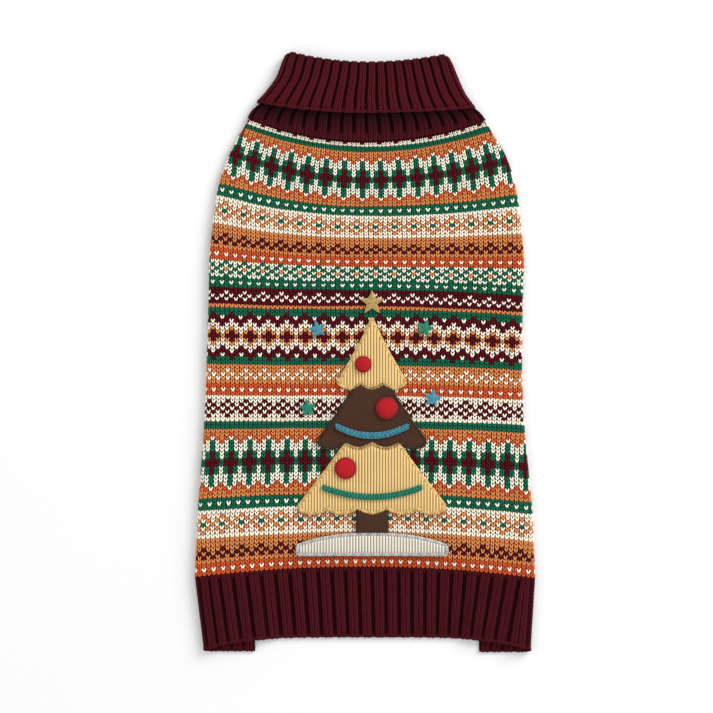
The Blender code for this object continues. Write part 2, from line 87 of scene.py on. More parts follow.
# Soft folds of the back: middle, length and width to half height, turn, height
Crease = namedtuple("Crease", "x y half_length half_width turn height")
CREASES = (
    Crease(-100, 128, 26, 7, 62, 1.3),
    Crease(104, 120, 26, 7, -60, 1.2),
    Crease(-84, 150, 24, 6, 40, 0.9),
    Crease(88, 148, 24, 6, -42, 0.9),
    Crease(-108, 20, 34, 8, 86, 0.9),
    Crease(108, -30, 40, 8, -86, 0.9),
    Crease(-96, -150, 34, 7, 8, 1.2),
    Crease(98, -152, 34, 7, -9, 1.2),
    Crease(-104, -92, 28, 7, 78, 0.8),
    Crease(10, 122, 46, 6, 3, 0.6),
    Crease(-58, 96, 30, 5, 12, 0.45),
    Crease(62, 84, 26, 5, -16, 0.4),
    Crease(-92, -36, 22, 5, 58, 0.5),
    Crease(90, 24, 24, 5, -64, 0.5),
    Crease(-70, 140, 20, 4, 24, -0.5),
    Crease(44, 150, 22, 4, -10, 0.4),
    Crease(96, -104, 26, 5, 74, 0.5),
    Crease(-72, -136, 24, 4, -4, 0.4),
    Crease(30, 56, 34, 5, 5, -0.35),
)
HALF_HEIGHT = 0.7        # e to the minus this is about a half
CREASE_START = 8.0       # from a side fold to where the creases have their whole height
CREASE_LEFT = 0.3        # share of a crease where the top layer lies on the table
CREASE_DEEPEST = -0.3

# Front-leg openings, in the under layer where strip and belly meet
LEG_Y = 92.0
LEG_OUTER = (28.0, 34.0)  # half width and half length of a band's outer edge
LEG_BAND = 8.0
LEG_STITCHES = 64        # round it
BAND_STITCHES = 48       # across the belly band, of which every third is left out
BAND_COURSES = 4

# Hem band
HEM_RIBS = 25
HEM_EDGE = Course(-227.4, -129.6, -237.4, 133.2, -237.6)
HEM_BOW = 4.0
FLAP_EDGE_LEFT = -238.6
FLAP_EDGE_RIGHT = -239.2
HEM_COURSES = 20
# How far the ribs near both corners lean, at the seam and at the edge, and where across the hem
Lean = namedtuple("Lean", "at_seam at_edge start full fading end")
LEANS = (Lean(5.0, 3.6, 0.0, 0.08, 0.08, 0.44), Lean(-0.8, 6.0, 0.68, 0.92, 0.96, 1.0))
VALLEY_START = 0.02      # share of the hem's length at which its valleys begin to open
VALLEY_END = 0.96        # at which they are shut again
VALLEY_RAMP = 0.09       # and over which they open and shut
STRIP_CELLS = 8          # across a strip under the garment
FOLD_PLACES = (0.2, 0.4, 0.6, 0.8, 1.0)  # shares of the way round a side fold
FLAP_RIBS = 4
FLAP_PITCH = 9.4         # of the flaps' ribs
FLAP_START = 4.0         # from the fold to the first of them
FLAP_SEEN = 20.0         # from a flap's edge up to where its stitches may show
FLAP_COURSE = 2.9
FLAP_COURSES = 8
FLAP_SINK = 0.35         # of its stitches' feet under its upper face
EDGE_VALLEY = 0.15       # share of its depth and of its painted shade that the first and the last valley has, at the folds
CAST_OFF_INSET = 0.9     # from the edge to the middle of the cast-off stitches
CAST_OFF_SINK = 0.7 * YARN  # of these under the stitches' outer face
CAST_OFF_CLEAR = 1.6     # of both ends of the edge
HEM_CHAIN = (2.5, 2.6)   # length and width of a cast-off stitch

# Collar: a stand from the neck seam up to the top fold, turned down outside to its free edge
COLLAR_RIBS = 18
CollarRow = namedtuple("CollarRow", "centre_y left_x left_y right_x right_y mid_z half bulge drop")
TURNOVER_ROWS = (
    CollarRow(193.6, -86.4, 202.0, 88.0, 197.6, 4.4, 4.4, 1.2, 0.0),
    CollarRow(205.0, -79.4, 209.6, 80.8, 207.6, 4.4, 4.4, 1.5, 0.0),
    CollarRow(219.0, -71.0, 221.6, 74.4, 221.8, 4.4, 4.4, 1.4, 0.0),
    CollarRow(233.0, -65.2, 242.8, 69.0, 240.4, 4.4, 4.4, 0.6, 4.4),
)
STAND_ROWS = (
    CollarRow(233.0, -62.6, 242.8, 66.4, 240.4, 4.4, 2.2, 0.6, 4.4),
    CollarRow(219.0, -68.4, 221.6, 71.8, 221.8, 4.4, 2.2, 1.4, 0.0),
    CollarRow(193.6, -83.6, 200.3, 84.6, 198.0, 4.4, 2.2, 1.2, 0.0),
    CollarRow(188.6, -88.6, 196.2, 90.0, 194.4, 4.1, 2.4, 1.0, 0.0),
    CollarRow(179.0, -92.6, 191.8, 95.0, 189.6, 3.3, 2.8, 0.5, 0.0),
    CollarRow(169.5, -94.4, 188.3, 97.0, 186.7, 3.1, 3.1, 0.0, 0.0),
)
CORNER_START = 0.9       # from here to the side, a row's corner is rounded down by its drop
SIDE_RIBS = ((80, 34, -12), (-28, -56, -84))  # angles of the wales of the ribs round a side
COLLAR_SIDE = (78, 60, 30, 0, -30, -60)  # and of the other points there
COLLAR_CHAIN = (2.8, 2.5)  # length and width of a cast-off stitch
FREE_EDGE_DROP = 0.6     # how far the collar's wall goes on under its free edge
# The cast-off chain: its drop, its depth in the layer, share of the ribs' relief, their shift up
COLLAR_CAST_OFF = (0.9, 0.5, 0.6, -0.5)
SHUT_COURSES = 2         # above the seam, where the stand's valleys are knitted shut
SHUT_PLACE = 0.9         # share of the stand's length there, for its painted shade
CREST_RADIUS = 2.0       # of the outer layer's arc over the crest
CREST_HALF = 2.4         # from the collar's middle height to that arc's centre
STAND_TOP = 201.0        # how far up under the turned-down layer the stand's ribs are made
STAND_COURSES = 11
STAND_RISE = 8.0         # above the neck seam, over which its valleys open
STAND_RIBS_AT_SEAM = 0.3  # share of the ribs' relief at the seam
STAND_SHADE = (0.26, 0.98)  # shares of its length between which it comes out of the shade
TURNOVER_COURSES = 14    # below the crest
EDGE_RISE = 4.0          # above the free edge, over which the ribs get their whole relief
EDGE_RIBS = 0.25         # share of it at the free edge
CREST_START = 6.0        # below the crest, from where the layer nears the crest's arc
CREST_ANGLES = (0, 45, 90, 135, 180)  # of the stitches over the crest, from front to back
BELOW_POINTS = 25        # across the collar's under layer
SHORTEST_RIB_STITCH = 0.6

# A rib from one valley to the next: place in the rib, share of its height, share of the valley's depth
RIB_SHAPE = ((0.0, 0.0, 1.0), (0.09, 0.0, 0.9), (0.16, 0.4, 0.2), (0.28, 0.8, 0.0),
             (0.5, 1.0, 0.0), (0.72, 0.8, 0.0), (0.84, 0.4, 0.2), (0.91, 0.0, 0.9))
RIB_WALES = (0.13, 0.5, 0.87)  # where a rib's two columns of stitches begin and end
WALE_RISES = (0.4, 1.0, 0.4)   # and their heights there, as shares of the rib's
VALLEY_WALE = (RIB_WALES[-1] - 1.0, RIB_WALES[0])  # a column of stitches between two ribs

# Applique
TREE_X = 5.6
Tier = namedtuple("Tier", "name apex corner half_width scallops")
TIERS = (
    Tier("tree_top_tier", 28.0, -24.0, 27.2, 3),
    Tier("tree_middle_tier", -2.0, -72.0, 44.0, 4),
    Tier("tree_bottom_tier", -38.0, -124.0, 60.0, 5),
)
TIER_CURVE = 1.15        # over 1, a tier's sides curve in
SCALLOP_DEPTH = 4.0
TIER_THICK = 1.8
TIER_REACH = 0.97        # share of its half width that a tier's cloth covers
TRUNK_HALF = 12.8
MOUND_HALF = 59.6
MOUND_TOP = -145.0
MOUND_BOTTOM = -161.0
MOUND_DROP = 9.0         # of its top edge at both ends
MOUND_CURVE = 2.4
MOUND_THICK = 2.6
TRUNK_THICK = 2.2
PLUSH_THICK = 1.5        # of the middle tier under its tufts
WALE_PITCH = 2.37        # of the corduroy
WALE_HEIGHT = 0.5
RIDGE_CURVE = 0.6
PATCH_ROWS = 16
RIM_SHARE = 0.55         # share of a patch's thickness at its rim
RIM_WIDTH = 2.5
Swag = namedtuple("Swag", "name half_width end_y sag")
SWAGS = (
    Swag("garland_blue", 29.0, -58.0, 8.0),
    Swag("garland_green", 40.0, -107.0, 8.0),
)
SWAG_WIDTH = 5.0
SWAG_THICK = 1.6
SWAG_END = 0.06          # share of its half width over which a garland's end is rounded
SWAG_SINK = 0.4          # of the cloth behind its stitches
SWAG_TIP = 0.3           # share of its width left at a garland's very end
SWAG_CROWN = (0.55, 0.9)  # shares of its thickness at its edges and along its middle
SWAG_ROWS = 7            # of points, across a garland
SWAG_POINTS = 61         # along it
SWAG_CHAINS = (1, 3, 5)  # which of the rows its chains of stitches follow
SWAG_STITCH = (2.1, 1.3, 0.7)
SWAG_STEP = 1.25
Bauble = namedtuple("Bauble", "name x y radius")
BAUBLES = (
    Bauble("bauble_top", -1.5, -9.0, 6.0),
    Bauble("bauble_middle", 17.5, -44.0, 8.0),
    Bauble("bauble_bottom", -15.5, -92.0, 8.0),
)
BAUBLE_THICK = 3.2
BAUBLE_RIM = 0.9         # height of its rim
BAUBLE_RINGS = 9
BAUBLE_SPOKES = 36
Star = namedtuple("Star", "name x y radius turn")
STARS = (
    Star("star_gold", 5.6, 40.2, 10.0, 0),
    Star("star_blue_upper", -38.0, 19.0, 7.5, 14),
    Star("star_blue_lower", 54.0, -36.0, 7.5, -10),
    Star("star_green_upper", 48.0, 20.0, 7.5, -16),
    Star("star_green_lower", -46.0, -44.0, 7.5, 8),
)
STAR_WAIST = 0.45
STAR_THICK = 1.4
STAR_THREADS = 0.5       # height of its threads
STAR_CLOTH = STAR_THICK - STAR_THREADS
STAR_POINTS = 5
STAR_RING = 0.6          # a ring of points between its rim and its middle
STAR_HEIGHTS = (0.4, 0.8, 1.0)  # at its rim, at the ring and at its middle, as shares
THREAD = 0.46            # width of a satin stitch
SATIN_WIDTH = 3.0
SATIN_HEIGHT = 0.8
SATIN_LIFT = 0.1
BAUBLE_EDGE = 1.7        # width of its satin stitches
TUFT_SPACING = 0.95
TUFT_SIZE = (0.8, 1.5, 0.4)
TUFT_SINK = 0.75         # of a tuft's middle under the plush's face
TUFT_CLEAR = 0.5         # from the patch's upper and lower edge
TUFT_SIDES = (0.6, 0.4)  # and from its left and right one
TUFT_WANDER = 0.35       # how far a tuft stands from an even grid
TUFT_LEAN = (0.0, -0.25)
TUFT_SPREAD = 0.35       # of the tufts' leaning
TUFT_TONES = (0.6, 1.5)

# Yarns, as light reflected
YARNS = {
    "W": (0.90, 0.84, 0.70),
    "G": (0.008, 0.126, 0.066),
    "O": (0.64, 0.255, 0.080),
    "R": (0.585, 0.090, 0.025),
    "M": (0.092, 0.0036, 0.0080),
}
# The same yarns carried behind the stitches, darkened as painted shade, and which of them shows behind
# each
CARRIED_SHADED = {
    "W": (0.24, 0.19, 0.13),
    "G": (0.0010, 0.034, 0.018),
    "O": (0.150, 0.035, 0.008),
    "R": (0.160, 0.022, 0.006),
    "M": (0.024, 0.0014, 0.0030),
}
BEHIND = {"W": "GMROW", "G": "G", "O": "MR", "R": "R", "M": "M"}
RIB_YARN = np.array((0.074, 0.0042, 0.0092))
# The rib yarn darkened as painted shade: behind its stitches, and more in the valleys between the ribs
RIB_GROUND_SHADE = np.array((0.020, 0.0012, 0.0026))
RIB_VALLEY_SHADE = np.array((0.0142, 0.0011, 0.0018))
HEM_TONE = 0.77          # share of the yarn's colour that the hem shows
STAND_SHADE_TONES = (0.18, 0.78)  # and the stand, as painted shade: under the free edge and at the seam
VALLEY_TONE = 1.5        # of the stand's ground, as a share of its stitches' tone; painted shade as well
GROUND_SHADE_TONE = 0.35       # of the cloth behind plain stitches, as a share of theirs: painted shade
PATCH_SHADE_TONE = 0.5         # of the patch behind a star's threads, darkened as painted shade
THREADS = {
    "tan": np.array((0.70, 0.47, 0.17)),
    "silver": np.array((0.52, 0.53, 0.52)),
    "brown": np.array((0.046, 0.018, 0.009)),
    "red": np.array((0.35, 0.0070, 0.0120)),
    "blue": np.array((0.075, 0.29, 0.38)),
    "green": np.array((0.025, 0.24, 0.15)),
    "gold": np.array((0.46, 0.33, 0.12)),
}

# The body's chart, from neck to hem: one word a course, repeated every four wales
NECK = "MMMM WMWW WWWW GGGG GGGG"
DIAMONDS = ("OOOO OROO RWRO WGWR WGWW WGWW GMGW GMGW MMMG MMMG GMGW GMGW WGWW WGWW WGWR RWRO"
            " OROO OOOO")
GREEN_DOTS = "GGGG GWGW GGGG"
BUDS = "WWWW OWWW WOWO GWOW WOWO OWWW WWWW"
OCHRE_ZIGZAG = "OOOO OOOO MOOO OMOM MOMO OOOO RRRR WRWR RRRR"
GREEN_BUDS = "GWWW WGWG OWGW WGWG GWWW GGGG GWGW GGGG"
MAROON_DOTS = "MMMM WMMM MWMW WMWM MMMM OOOO"
LOZENGES = "GGGG GMGG MMMW MWMM WWWM WOWW OMOW MMMO OMOW WOWW WWWM MWMM MMMW GMGG GGGG"
OCHRE_DOTS = "OOOO WOOO OWOW WOWO OOOO RRRR RWRW RRRR"
MAROON_ZIGZAG = "WWWW MWWW WMWM MWMW WMWM MWWW WWWW"
CHART = " ".join((NECK, DIAMONDS, GREEN_DOTS, BUDS, OCHRE_ZIGZAG, GREEN_BUDS, MAROON_DOTS, LOZENGES,
                  OCHRE_DOTS, MAROON_ZIGZAG, "GGGG GGGG", DIAMONDS, GREEN_DOTS, BUDS,
                  OCHRE_ZIGZAG)).split()

# Where the chart's courses and wales lie
CourseHeight = namedtuple("CourseHeight", "course centre_y")
COURSE_HEIGHTS = (
    CourseHeight(0, 169.2), CourseHeight(1, 168.3), CourseHeight(3, 165.1),
    CourseHeight(5, 161.1), CourseHeight(14, 138.4),
    CourseHeight(24.5, 113.6), CourseHeight(29.5, 100.8), CourseHeight(40.5, 72.8),
    CourseHeight(50, 50.4), CourseHeight(55.5, 36.3), CourseHeight(70.5, -8.0),
    CourseHeight(77.5, -29.6), CourseHeight(87, -57.2), CourseHeight(97, -85.6),
    CourseHeight(107.5, -116.8), CourseHeight(112.5, -132.0), CourseHeight(123.5, -166.8),
    CourseHeight(125, -171.2),
)
WalePlaces = namedtuple("WalePlaces", "course wale_0 wale_16 wale_28 wale_48 wale_60")
WALE_PLACES = (
    WalePlaces(0, -97.0, -46.0, -5.5, 61.2, 100.3),
    WalePlaces(14, -107.0, -50.3, -5.5, 67.8, 110.8),
    WalePlaces(29.5, -112.0, -52.4, -6.8, 69.6, 115.6),
    WalePlaces(40.5, -111.2, -52.8, -6.4, 69.4, 116.0),
    WalePlaces(77.5, -109.6, -50.6, -7.3, 64.8, 112.5),
    WalePlaces(97, -111.0, -51.6, -8.3, 63.8, 109.8),
    WalePlaces(107.5, -113.0, -51.6, -8.5, 63.4, 110.0),
    WalePlaces(112.5, -114.6, -51.4, -8.4, 63.2, 110.6),
    WalePlaces(123.5, -113.6, -52.0, -7.6, 64.6, 108.0),
)
TABLE_WALES = (0, 16, 28, 48, 60)
EDGE_PITCH = 3.75        # of the wales outside the table
WALES_OUTSIDE = 60       # how many of these on each side, more than are needed
NARROWEST = 0.7 * EDGE_PITCH  # stitches that an edge leaves narrower than this are left out
SHORTEST = 1.6           # and on the belly, those shorter than this
FIRST_WALE, LAST_WALE = -26, 88
WALE_WAVE = 0.32         # how far the knitting wanders from an even grid
COURSE_WAVE = 0.38
EVEN_COURSES = 4         # from each seam to where the courses wander in full
# The waves of that wandering: share, growth with each of two numbers, start
WAVES = ((0.5, 0.19, 0.83, 0.0), (0.3, 0.47, -1.7, 2.0), (0.2, 1.1, 0.31, 4.0))


# Numbers

def lerp(start, end, share):
    return start + (end - start) * share


def smoothstep(value):
    value = np.clip(value, 0.0, 1.0)
    return value * value * (3.0 - 2.0 * value)


def read_table(table, key):
    """The table's row at key, on a smooth curve through its rows. The first column is the key."""
    last = len(table) - 1
    direction = 1.0 if table[last][0] > table[0][0] else -1.0
    low = 0
    while low < last - 1 and (key - table[low + 1][0]) * direction >= 0.0:
        low += 1
    start, end = table[low], table[low + 1]
    before, after = table[max(low - 1, 0)], table[min(low + 2, last)]
    step = end[0] - start[0]
    share = (key - start[0]) / step
    square, cube = share * share, share * share * share
    values = [key]
    for column in range(1, len(start)):
        leave = (end[column] - before[column]) / (end[0] - before[0]) * step
        arrive = (after[column] - start[column]) / (after[0] - start[0]) * step
        values.append(
            (2 * cube - 3 * square + 1) * start[column]
            + (cube - 2 * square + share) * leave
            + (3 * square - 2 * cube) * end[column]
            + (cube - square) * arrive
        )
    return type(start)(*values)


DENSE_Y = np.linspace(-230.0, 200.0, 861)
DENSE = np.array([read_table(BODY_COURSES, y) for y in DENSE_Y])


def body_course(centre_y):
    """The body course at each height, as a Course of arrays."""
    return Course(*[np.interp(centre_y, DENSE_Y, column) for column in DENSE.T])


def course_y(course, x, bow=COURSE_BOW):
    middle = (course.left_x + course.right_x) / 2
    left = np.abs((x - middle) / (course.left_x - middle)) ** bow
    right = np.abs((x - middle) / (course.right_x - middle)) ** bow
    return np.where(x < middle, lerp(course.centre_y, course.left_y, left),
                    lerp(course.centre_y, course.right_y, right))


def crease_height(x, y):
    total = 0.0
    for crease in CREASES:
        turn = math.radians(crease.turn)
        along = (x - crease.x) * math.cos(turn) + (y - crease.y) * math.sin(turn)
        across = (y - crease.y) * math.cos(turn) - (x - crease.x) * math.sin(turn)
        reach = (along / crease.half_length) ** 2 + (across / crease.half_width) ** 2
        total = total + crease.height * np.exp(-HALF_HEIGHT * reach)
    return total


def uneven(first, second):
    """A soft wave from -1 to 1 over two numbers that grow by 1 a stitch."""
    return sum(share * np.sin(by_first * first + by_second * second + start)
               for share, by_first, by_second, start in WAVES)


def fold_radius(wall):
    return (LAYER_LIFT + FOLD_PUFF + wall) / 2


def strip_ends(course):
    return course.left_x + STRIP_WIDTH, course.right_x - STRIP_WIDTH


def underside(course, x):
    """Height of the top layer's inner face: on the under layer, or on the table in the cut-out."""
    left, right = strip_ends(course)
    sink = smoothstep((x - left - SINK_START) / SINK_SIDE)
    sink = sink * smoothstep((right - x - SINK_START) / SINK_SIDE)
    sink = sink * smoothstep((CUT_OUT_TOP - SINK_START - course.centre_y) / SINK_END)
    inset = np.minimum(x - course.left_x, course.right_x - x) - fold_radius(BODY_WALL)
    puff = FOLD_PUFF * np.exp(-((np.maximum(inset, 0.0) / PUFF_REACH) ** 2))
    crease = crease_height(x, course_y(course, x)) * smoothstep(inset / CREASE_START)
    crease = np.maximum(crease * lerp(1.0, CREASE_LEFT, sink), CREASE_DEEPEST)
    return LAYER_LIFT * (1.0 - sink) + puff + crease


def course_through(x, y):
    """Height at the middle of the body course that runs through each point of the table."""
    high = np.full(x.shape, BODY_COURSES[0].centre_y + SEARCH_MARGIN)
    low = np.full(x.shape, BODY_COURSES[-1].centre_y - SEARCH_MARGIN)
    for _ in range(HALVINGS):
        middle = (high + low) / 2
        above = course_y(body_course(middle), x) > y
        high = np.where(above, middle, high)
        low = np.where(above, low, middle)
    return (high + low) / 2


def panel_top(x, y):
    """Height of the back's outer face over points of the table."""
    x, y = np.broadcast_arrays(np.asarray(x, float), np.asarray(y, float))
    return underside(body_course(course_through(x, y)), x) + BODY_WALL


def unit(vectors):
    return vectors / np.maximum(np.linalg.norm(vectors, axis=-1, keepdims=True), 1e-9)


def cut_size(grid, keep=True):
    """Width, length and area in metres of a laid piece, from its grid of rows."""
    across, along = np.diff(grid, axis=1), np.diff(grid, axis=0)
    width = np.linalg.norm(across[..., ::2], axis=-1).sum(axis=1).max()
    length = np.linalg.norm(along[..., 1:], axis=-1).sum(axis=0).max()
    spread = np.linalg.norm(np.cross(across[:-1], along[:, :-1]), axis=-1) * keep
    return float(width) * MM, float(length) * MM, float(spread.sum()) * MM * MM


# Meshes

def make_piece(name, points, faces, finish, colours=None):
    """One piece from points in millimetres. colours, for all faces or each, are kept as "yarn"."""
    mesh = bpy.data.meshes.new(name)
    mesh.from_pydata((np.asarray(points) * MM).tolist(), [], faces)
    if colours is not None:
        colours = np.broadcast_to(colours, (len(faces), 3))
        corners = np.repeat(colours, [len(face) for face in faces], axis=0)
        rgba = np.hstack([corners, np.ones((len(corners), 1))])
        yarn = mesh.attributes.new("yarn", "FLOAT_COLOR", "CORNER")
        yarn.data.foreach_set("color", rgba.astype(np.float32).ravel())
    shape = bmesh.new()
    shape.from_mesh(mesh)
    bmesh.ops.remove_doubles(shape, verts=shape.verts, dist=0.004 * MM)
    shape.to_mesh(mesh)
    shape.free()
    mesh.shade_smooth()
    piece = bpy.data.objects.new(name, mesh)
    piece.data.materials.append(finish)
    bpy.context.scene.collection.objects.link(piece)
    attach(piece, "root")
    return piece


def grid_faces(rows, columns, start=0, turned=False):
    faces = []
    for row in range(rows - 1):
        for column in range(columns - 1):
            corner = start + row * columns + column
            face = (corner, corner + columns, corner + columns + 1, corner + 1)
            faces.append(tuple(reversed(face)) if turned else face)
    return faces


def make_wall(name, outer, inner, finish, colours=None, drop=None):
    """A closed wall between two grids. drop says which of a grid's faces are left out."""
    rows, columns = outer.shape[:2]
    size = rows * columns
    points = np.vstack([outer.reshape(-1, 3), inner.reshape(-1, 3)])
    keep = np.ones((rows - 1, columns - 1), bool) if drop is None else ~drop
    front = grid_faces(rows, columns)
    back = grid_faces(rows, columns, size, turned=True)
    kept = [index for index, value in enumerate(keep.ravel()) if value]
    faces = [front[index] for index in kept] + [back[index] for index in kept]
    shades = None
    if colours is not None:
        flat = np.broadcast_to(colours, (rows - 1, columns - 1, 3)).reshape(-1, 3)
        shades = [flat[index] for index in kept] * 2
    sides = {}
    for index in kept:
        face = front[index]
        for near, far in zip(face, face[1:] + face[:1]):
            sides[(near, far)] = index
    for (near, far), index in sides.items():
        if (far, near) not in sides:
            faces.append((far, near, near + size, far + size))
            if shades is not None:
                shades.append(flat[index])
    return make_piece(name, points, faces, finish, shades)


def ring_faces(rings, count):
    faces = []
    for number in range(rings):
        following = (number + 1) % rings
        for corner in range(count):
            beside = (corner + 1) % count
            faces.append((number * count + corner, following * count + corner,
                          following * count + beside, number * count + beside))
    return faces


def face_outwards(piece):
    shape = bmesh.new()
    shape.from_mesh(piece.data)
    bmesh.ops.recalc_face_normals(shape, faces=shape.faces)
    shape.to_mesh(piece.data)
    shape.free()


def stand_for(node):
    """Hides the node of the solids that a piece is seen in place of."""
    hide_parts(node)


# Finishes

def add_node(tree, kind, settings=None, sockets=None):
    """A new node. Each of its sockets given here is linked to another's or holds a value."""
    node = tree.nodes.new(kind)
    for name, value in (settings or {}).items():
        setattr(node, name, value)
    for key, value in (sockets or {}).items():
        if isinstance(value, bpy.types.NodeSocket):
            tree.links.new(value, node.inputs[key])
        else:
            node.inputs[key].default_value = value
    return node


class Link:
    """A socket that can stand in a sum."""

    def __init__(self, finish, socket):
        self.finish = finish
        self.socket = socket

    def _sum(self, operation, other):
        return self.finish.node("ShaderNodeMath", {"operation": operation}, {0: self, 1: other})

    def __add__(self, other):
        return self._sum("ADD", other)

    def __sub__(self, other):
        return self._sum("SUBTRACT", other)

    def __mul__(self, other):
        return self._sum("MULTIPLY", other)


class Finish:
    """A material whose varying sockets are fed by nodes."""

    def __init__(self, name, **steady):
        self.material = bpy.data.materials.new(name)
        self.material.use_nodes = True
        self.tree = self.material.node_tree
        self.shader = self.tree.nodes["Principled BSDF"]
        for socket, value in steady.items():
            self.shader.inputs[socket.replace("_", " ")].default_value = value

    def node(self, kind, settings=None, sockets=None, output=0):
        plain = {key: getattr(value, "socket", value) for key, value in (sockets or {}).items()}
        return Link(self, add_node(self.tree, kind, settings, plain).outputs[output])

    def drive(self, socket, value):
        self.tree.links.new(value.socket, self.shader.inputs[socket])

    def place(self):
        return self.node("ShaderNodeTexCoord", output="Object")

    def attribute(self, name, output="Color"):
        return self.node("ShaderNodeAttribute", {"attribute_name": name}, output=output)

    def noise(self, scale, detail=2.0, vector=None):
        sockets = {"Vector": vector or self.place(), "Scale": scale, "Detail": detail}
        return self.node("ShaderNodeTexNoise", sockets=sockets)

    def flat(self, colour):
        node = self.node("ShaderNodeRGB")
        node.socket.default_value = (*colour, 1.0)
        return node

    def shade(self, colour, amount):
        """colour times a grey that varies."""
        grey = self.node("ShaderNodeCombineColor", sockets={0: amount, 1: amount, 2: amount})
        return self.node("ShaderNodeMix", {"data_type": "RGBA", "blend_type": "MULTIPLY"},
                         {0: 1.0, 6: colour, 7: grey}, output=2)

    def bump(self, height, distance, strength=1.0):
        bump = self.node("ShaderNodeBump", sockets={"Height": height, "Distance": distance,
                                                    "Strength": strength})
        self.drive("Normal", bump)


def yarn_finish(name, nap=0.0):
    """Plied yarn in each stitch's own colour, with loose fibres."""
    finish = Finish(name, Roughness=0.9, Specular_IOR_Level=0.12, Sheen_Weight=nap, Sheen_Roughness=0.5)
    fibres = finish.noise(2600.0, 3.0)
    blotches = finish.noise(70.0, 2.0)
    shade = fibres * 0.5 + blotches * 0.2 + 0.66
    finish.drive("Base Color", finish.shade(finish.attribute("yarn"), shade))
    ply = finish.node("ShaderNodeTexWave", {"bands_direction": "DIAGONAL"},
                      {"Vector": finish.attribute("strand", "Vector"), "Scale": 0.9})
    finish.bump(ply * 0.6 + fibres * 0.4, 0.00018, 0.8)
    return finish.material


def cloth_finish(name):
    """The knit behind the stitches, in shade."""
    finish = Finish(name, Roughness=0.95, Specular_IOR_Level=0.05)
    fibres = finish.noise(2200.0, 3.0)
    finish.drive("Base Color", finish.shade(finish.attribute("yarn"), fibres * 0.4 + 0.75))
    finish.bump(fibres, 0.0002, 0.7)
    return finish.material


def corduroy_finish(name, colour):
    finish = Finish(name, Roughness=0.85, Specular_IOR_Level=0.2, Sheen_Weight=0.1, Sheen_Roughness=0.4)
    place = finish.place()
    nap = finish.noise(1700.0, 4.0, place)
    rubbed = finish.noise(60.0, 3.0, place)
    weave = finish.node("ShaderNodeTexWave", {"bands_direction": "Y"},
                        {"Vector": place, "Scale": 330.0, "Distortion": 1.5, "Detail": 1.0})
    ridge = finish.attribute("ridge", "Fac")
    # Darker in the grooves between the ridges, as painted shade; the nap and rubbed noises vary the tone
    # at random
    shade = ridge * 0.86 + nap * 0.24 + rubbed * 0.14 - 0.02
    finish.drive("Base Color", finish.shade(finish.flat(colour), shade))
    finish.bump(nap * 0.5 + weave * 0.5, 0.0002, 0.8)
    return finish.material


def fibre_finish(name, colour, sheen=0.1, coarse=900.0):
    finish = Finish(name, Roughness=0.9, Specular_IOR_Level=0.15, Sheen_Weight=sheen,
                    Sheen_Roughness=0.4)
    nap = finish.noise(coarse, 4.0)
    patches = finish.noise(90.0, 2.0)
    finish.drive("Base Color", finish.shade(finish.flat(colour), nap * 0.6 + patches * 0.3 + 0.5))
    finish.bump(nap, 0.0003, 0.8)
    return finish.material


def satin_finish(name, metallic=0.0):
    finish = Finish(name, Roughness=0.42, Metallic=metallic, Specular_IOR_Level=0.3)
    twist = finish.noise(1500.0, 2.0)
    finish.drive("Base Color", finish.shade(finish.attribute("yarn"), twist * 0.5 + 0.72))
    return finish.material


# What is sewn on: one small shape at each of many points, turned and sized by the points

def make_sewing_tree():
    tree = bpy.data.node_groups.new("sewing", "GeometryNodeTree")
    for name, kind in (("Points", "Geometry"), ("Shape", "Object"), ("Unevenness", "Float"),
                       ("Seed", "Int"), ("Finish", "Material")):
        tree.interface.new_socket(name, in_out="INPUT", socket_type=f"NodeSocket{kind}")
    tree.interface.new_socket("Sewn", in_out="OUTPUT", socket_type="NodeSocketGeometry")
    add = partial(add_node, tree)

    def maths(operation, first, second):
        return add("ShaderNodeMath", {"operation": operation}, {0: first, 1: second}).outputs[0]

    def by_chance(least, most):
        return add("FunctionNodeRandomValue", {"data_type": "FLOAT_VECTOR"},
                   {"Seed": inputs["Seed"], "Min": least, "Max": most}).outputs[0]

    inputs = add("NodeGroupInput").outputs
    amount = inputs["Unevenness"]
    axes = {name: add("GeometryNodeInputNamedAttribute", {"data_type": "FLOAT_VECTOR"},
                      {"Name": name}).outputs[0] for name in ("up", "along", "size")}
    turn = add("FunctionNodeAxesToRotation", {"primary_axis": "Z", "secondary_axis": "Y"},
               {"Primary Axis": axes["up"], "Secondary Axis": axes["along"]})
    spread = by_chance(maths("SUBTRACT", 1.0, amount), maths("ADD", 1.0, amount))
    size = add("ShaderNodeVectorMath", {"operation": "MULTIPLY"}, {0: axes["size"], 1: spread})
    lean = by_chance(maths("MULTIPLY", amount, -1.0), amount)
    leaning = add("FunctionNodeEulerToRotation", sockets={"Euler": lean})
    turned = add("FunctionNodeRotateRotation", {"rotation_space": "LOCAL"},
                 {"Rotation": turn.outputs[0], "Rotate By": leaning.outputs[0]})
    shape = add("GeometryNodeObjectInfo", sockets={"Object": inputs["Shape"]})
    sewn = add("GeometryNodeInstanceOnPoints",
               sockets={"Points": inputs["Points"], "Instance": shape.outputs["Geometry"],
                        "Rotation": turned.outputs[0], "Scale": size.outputs[0]})
    real = add("GeometryNodeRealizeInstances", sockets={"Geometry": sewn.outputs[0]})
    dyed = add("GeometryNodeSetMaterial",
               sockets={"Geometry": real.outputs[0], "Material": inputs["Finish"]})
    add("NodeGroupOutput", sockets={"Sewn": dyed.outputs[0]})
    return tree


SEWING = make_sewing_tree()

# A leg of a stitch: share of its length, half width as a share of its widest, height
LEG_SHAPE = ((0.0, 0.0, 0.3), (0.12, 0.85, 0.85), (0.42, 1.0, 1.0), (0.78, 0.85, 0.65),
             (1.0, 0.0, 0.05))
THREAD_LEG = ((0.0, 0.0, 0.0), (0.12, 0.9, 0.8), (0.88, 0.9, 0.8), (1.0, 0.0, 0.0))
PLY = (6.0, 1.2)         # how far the ply's pattern runs along a leg, and to each side of it
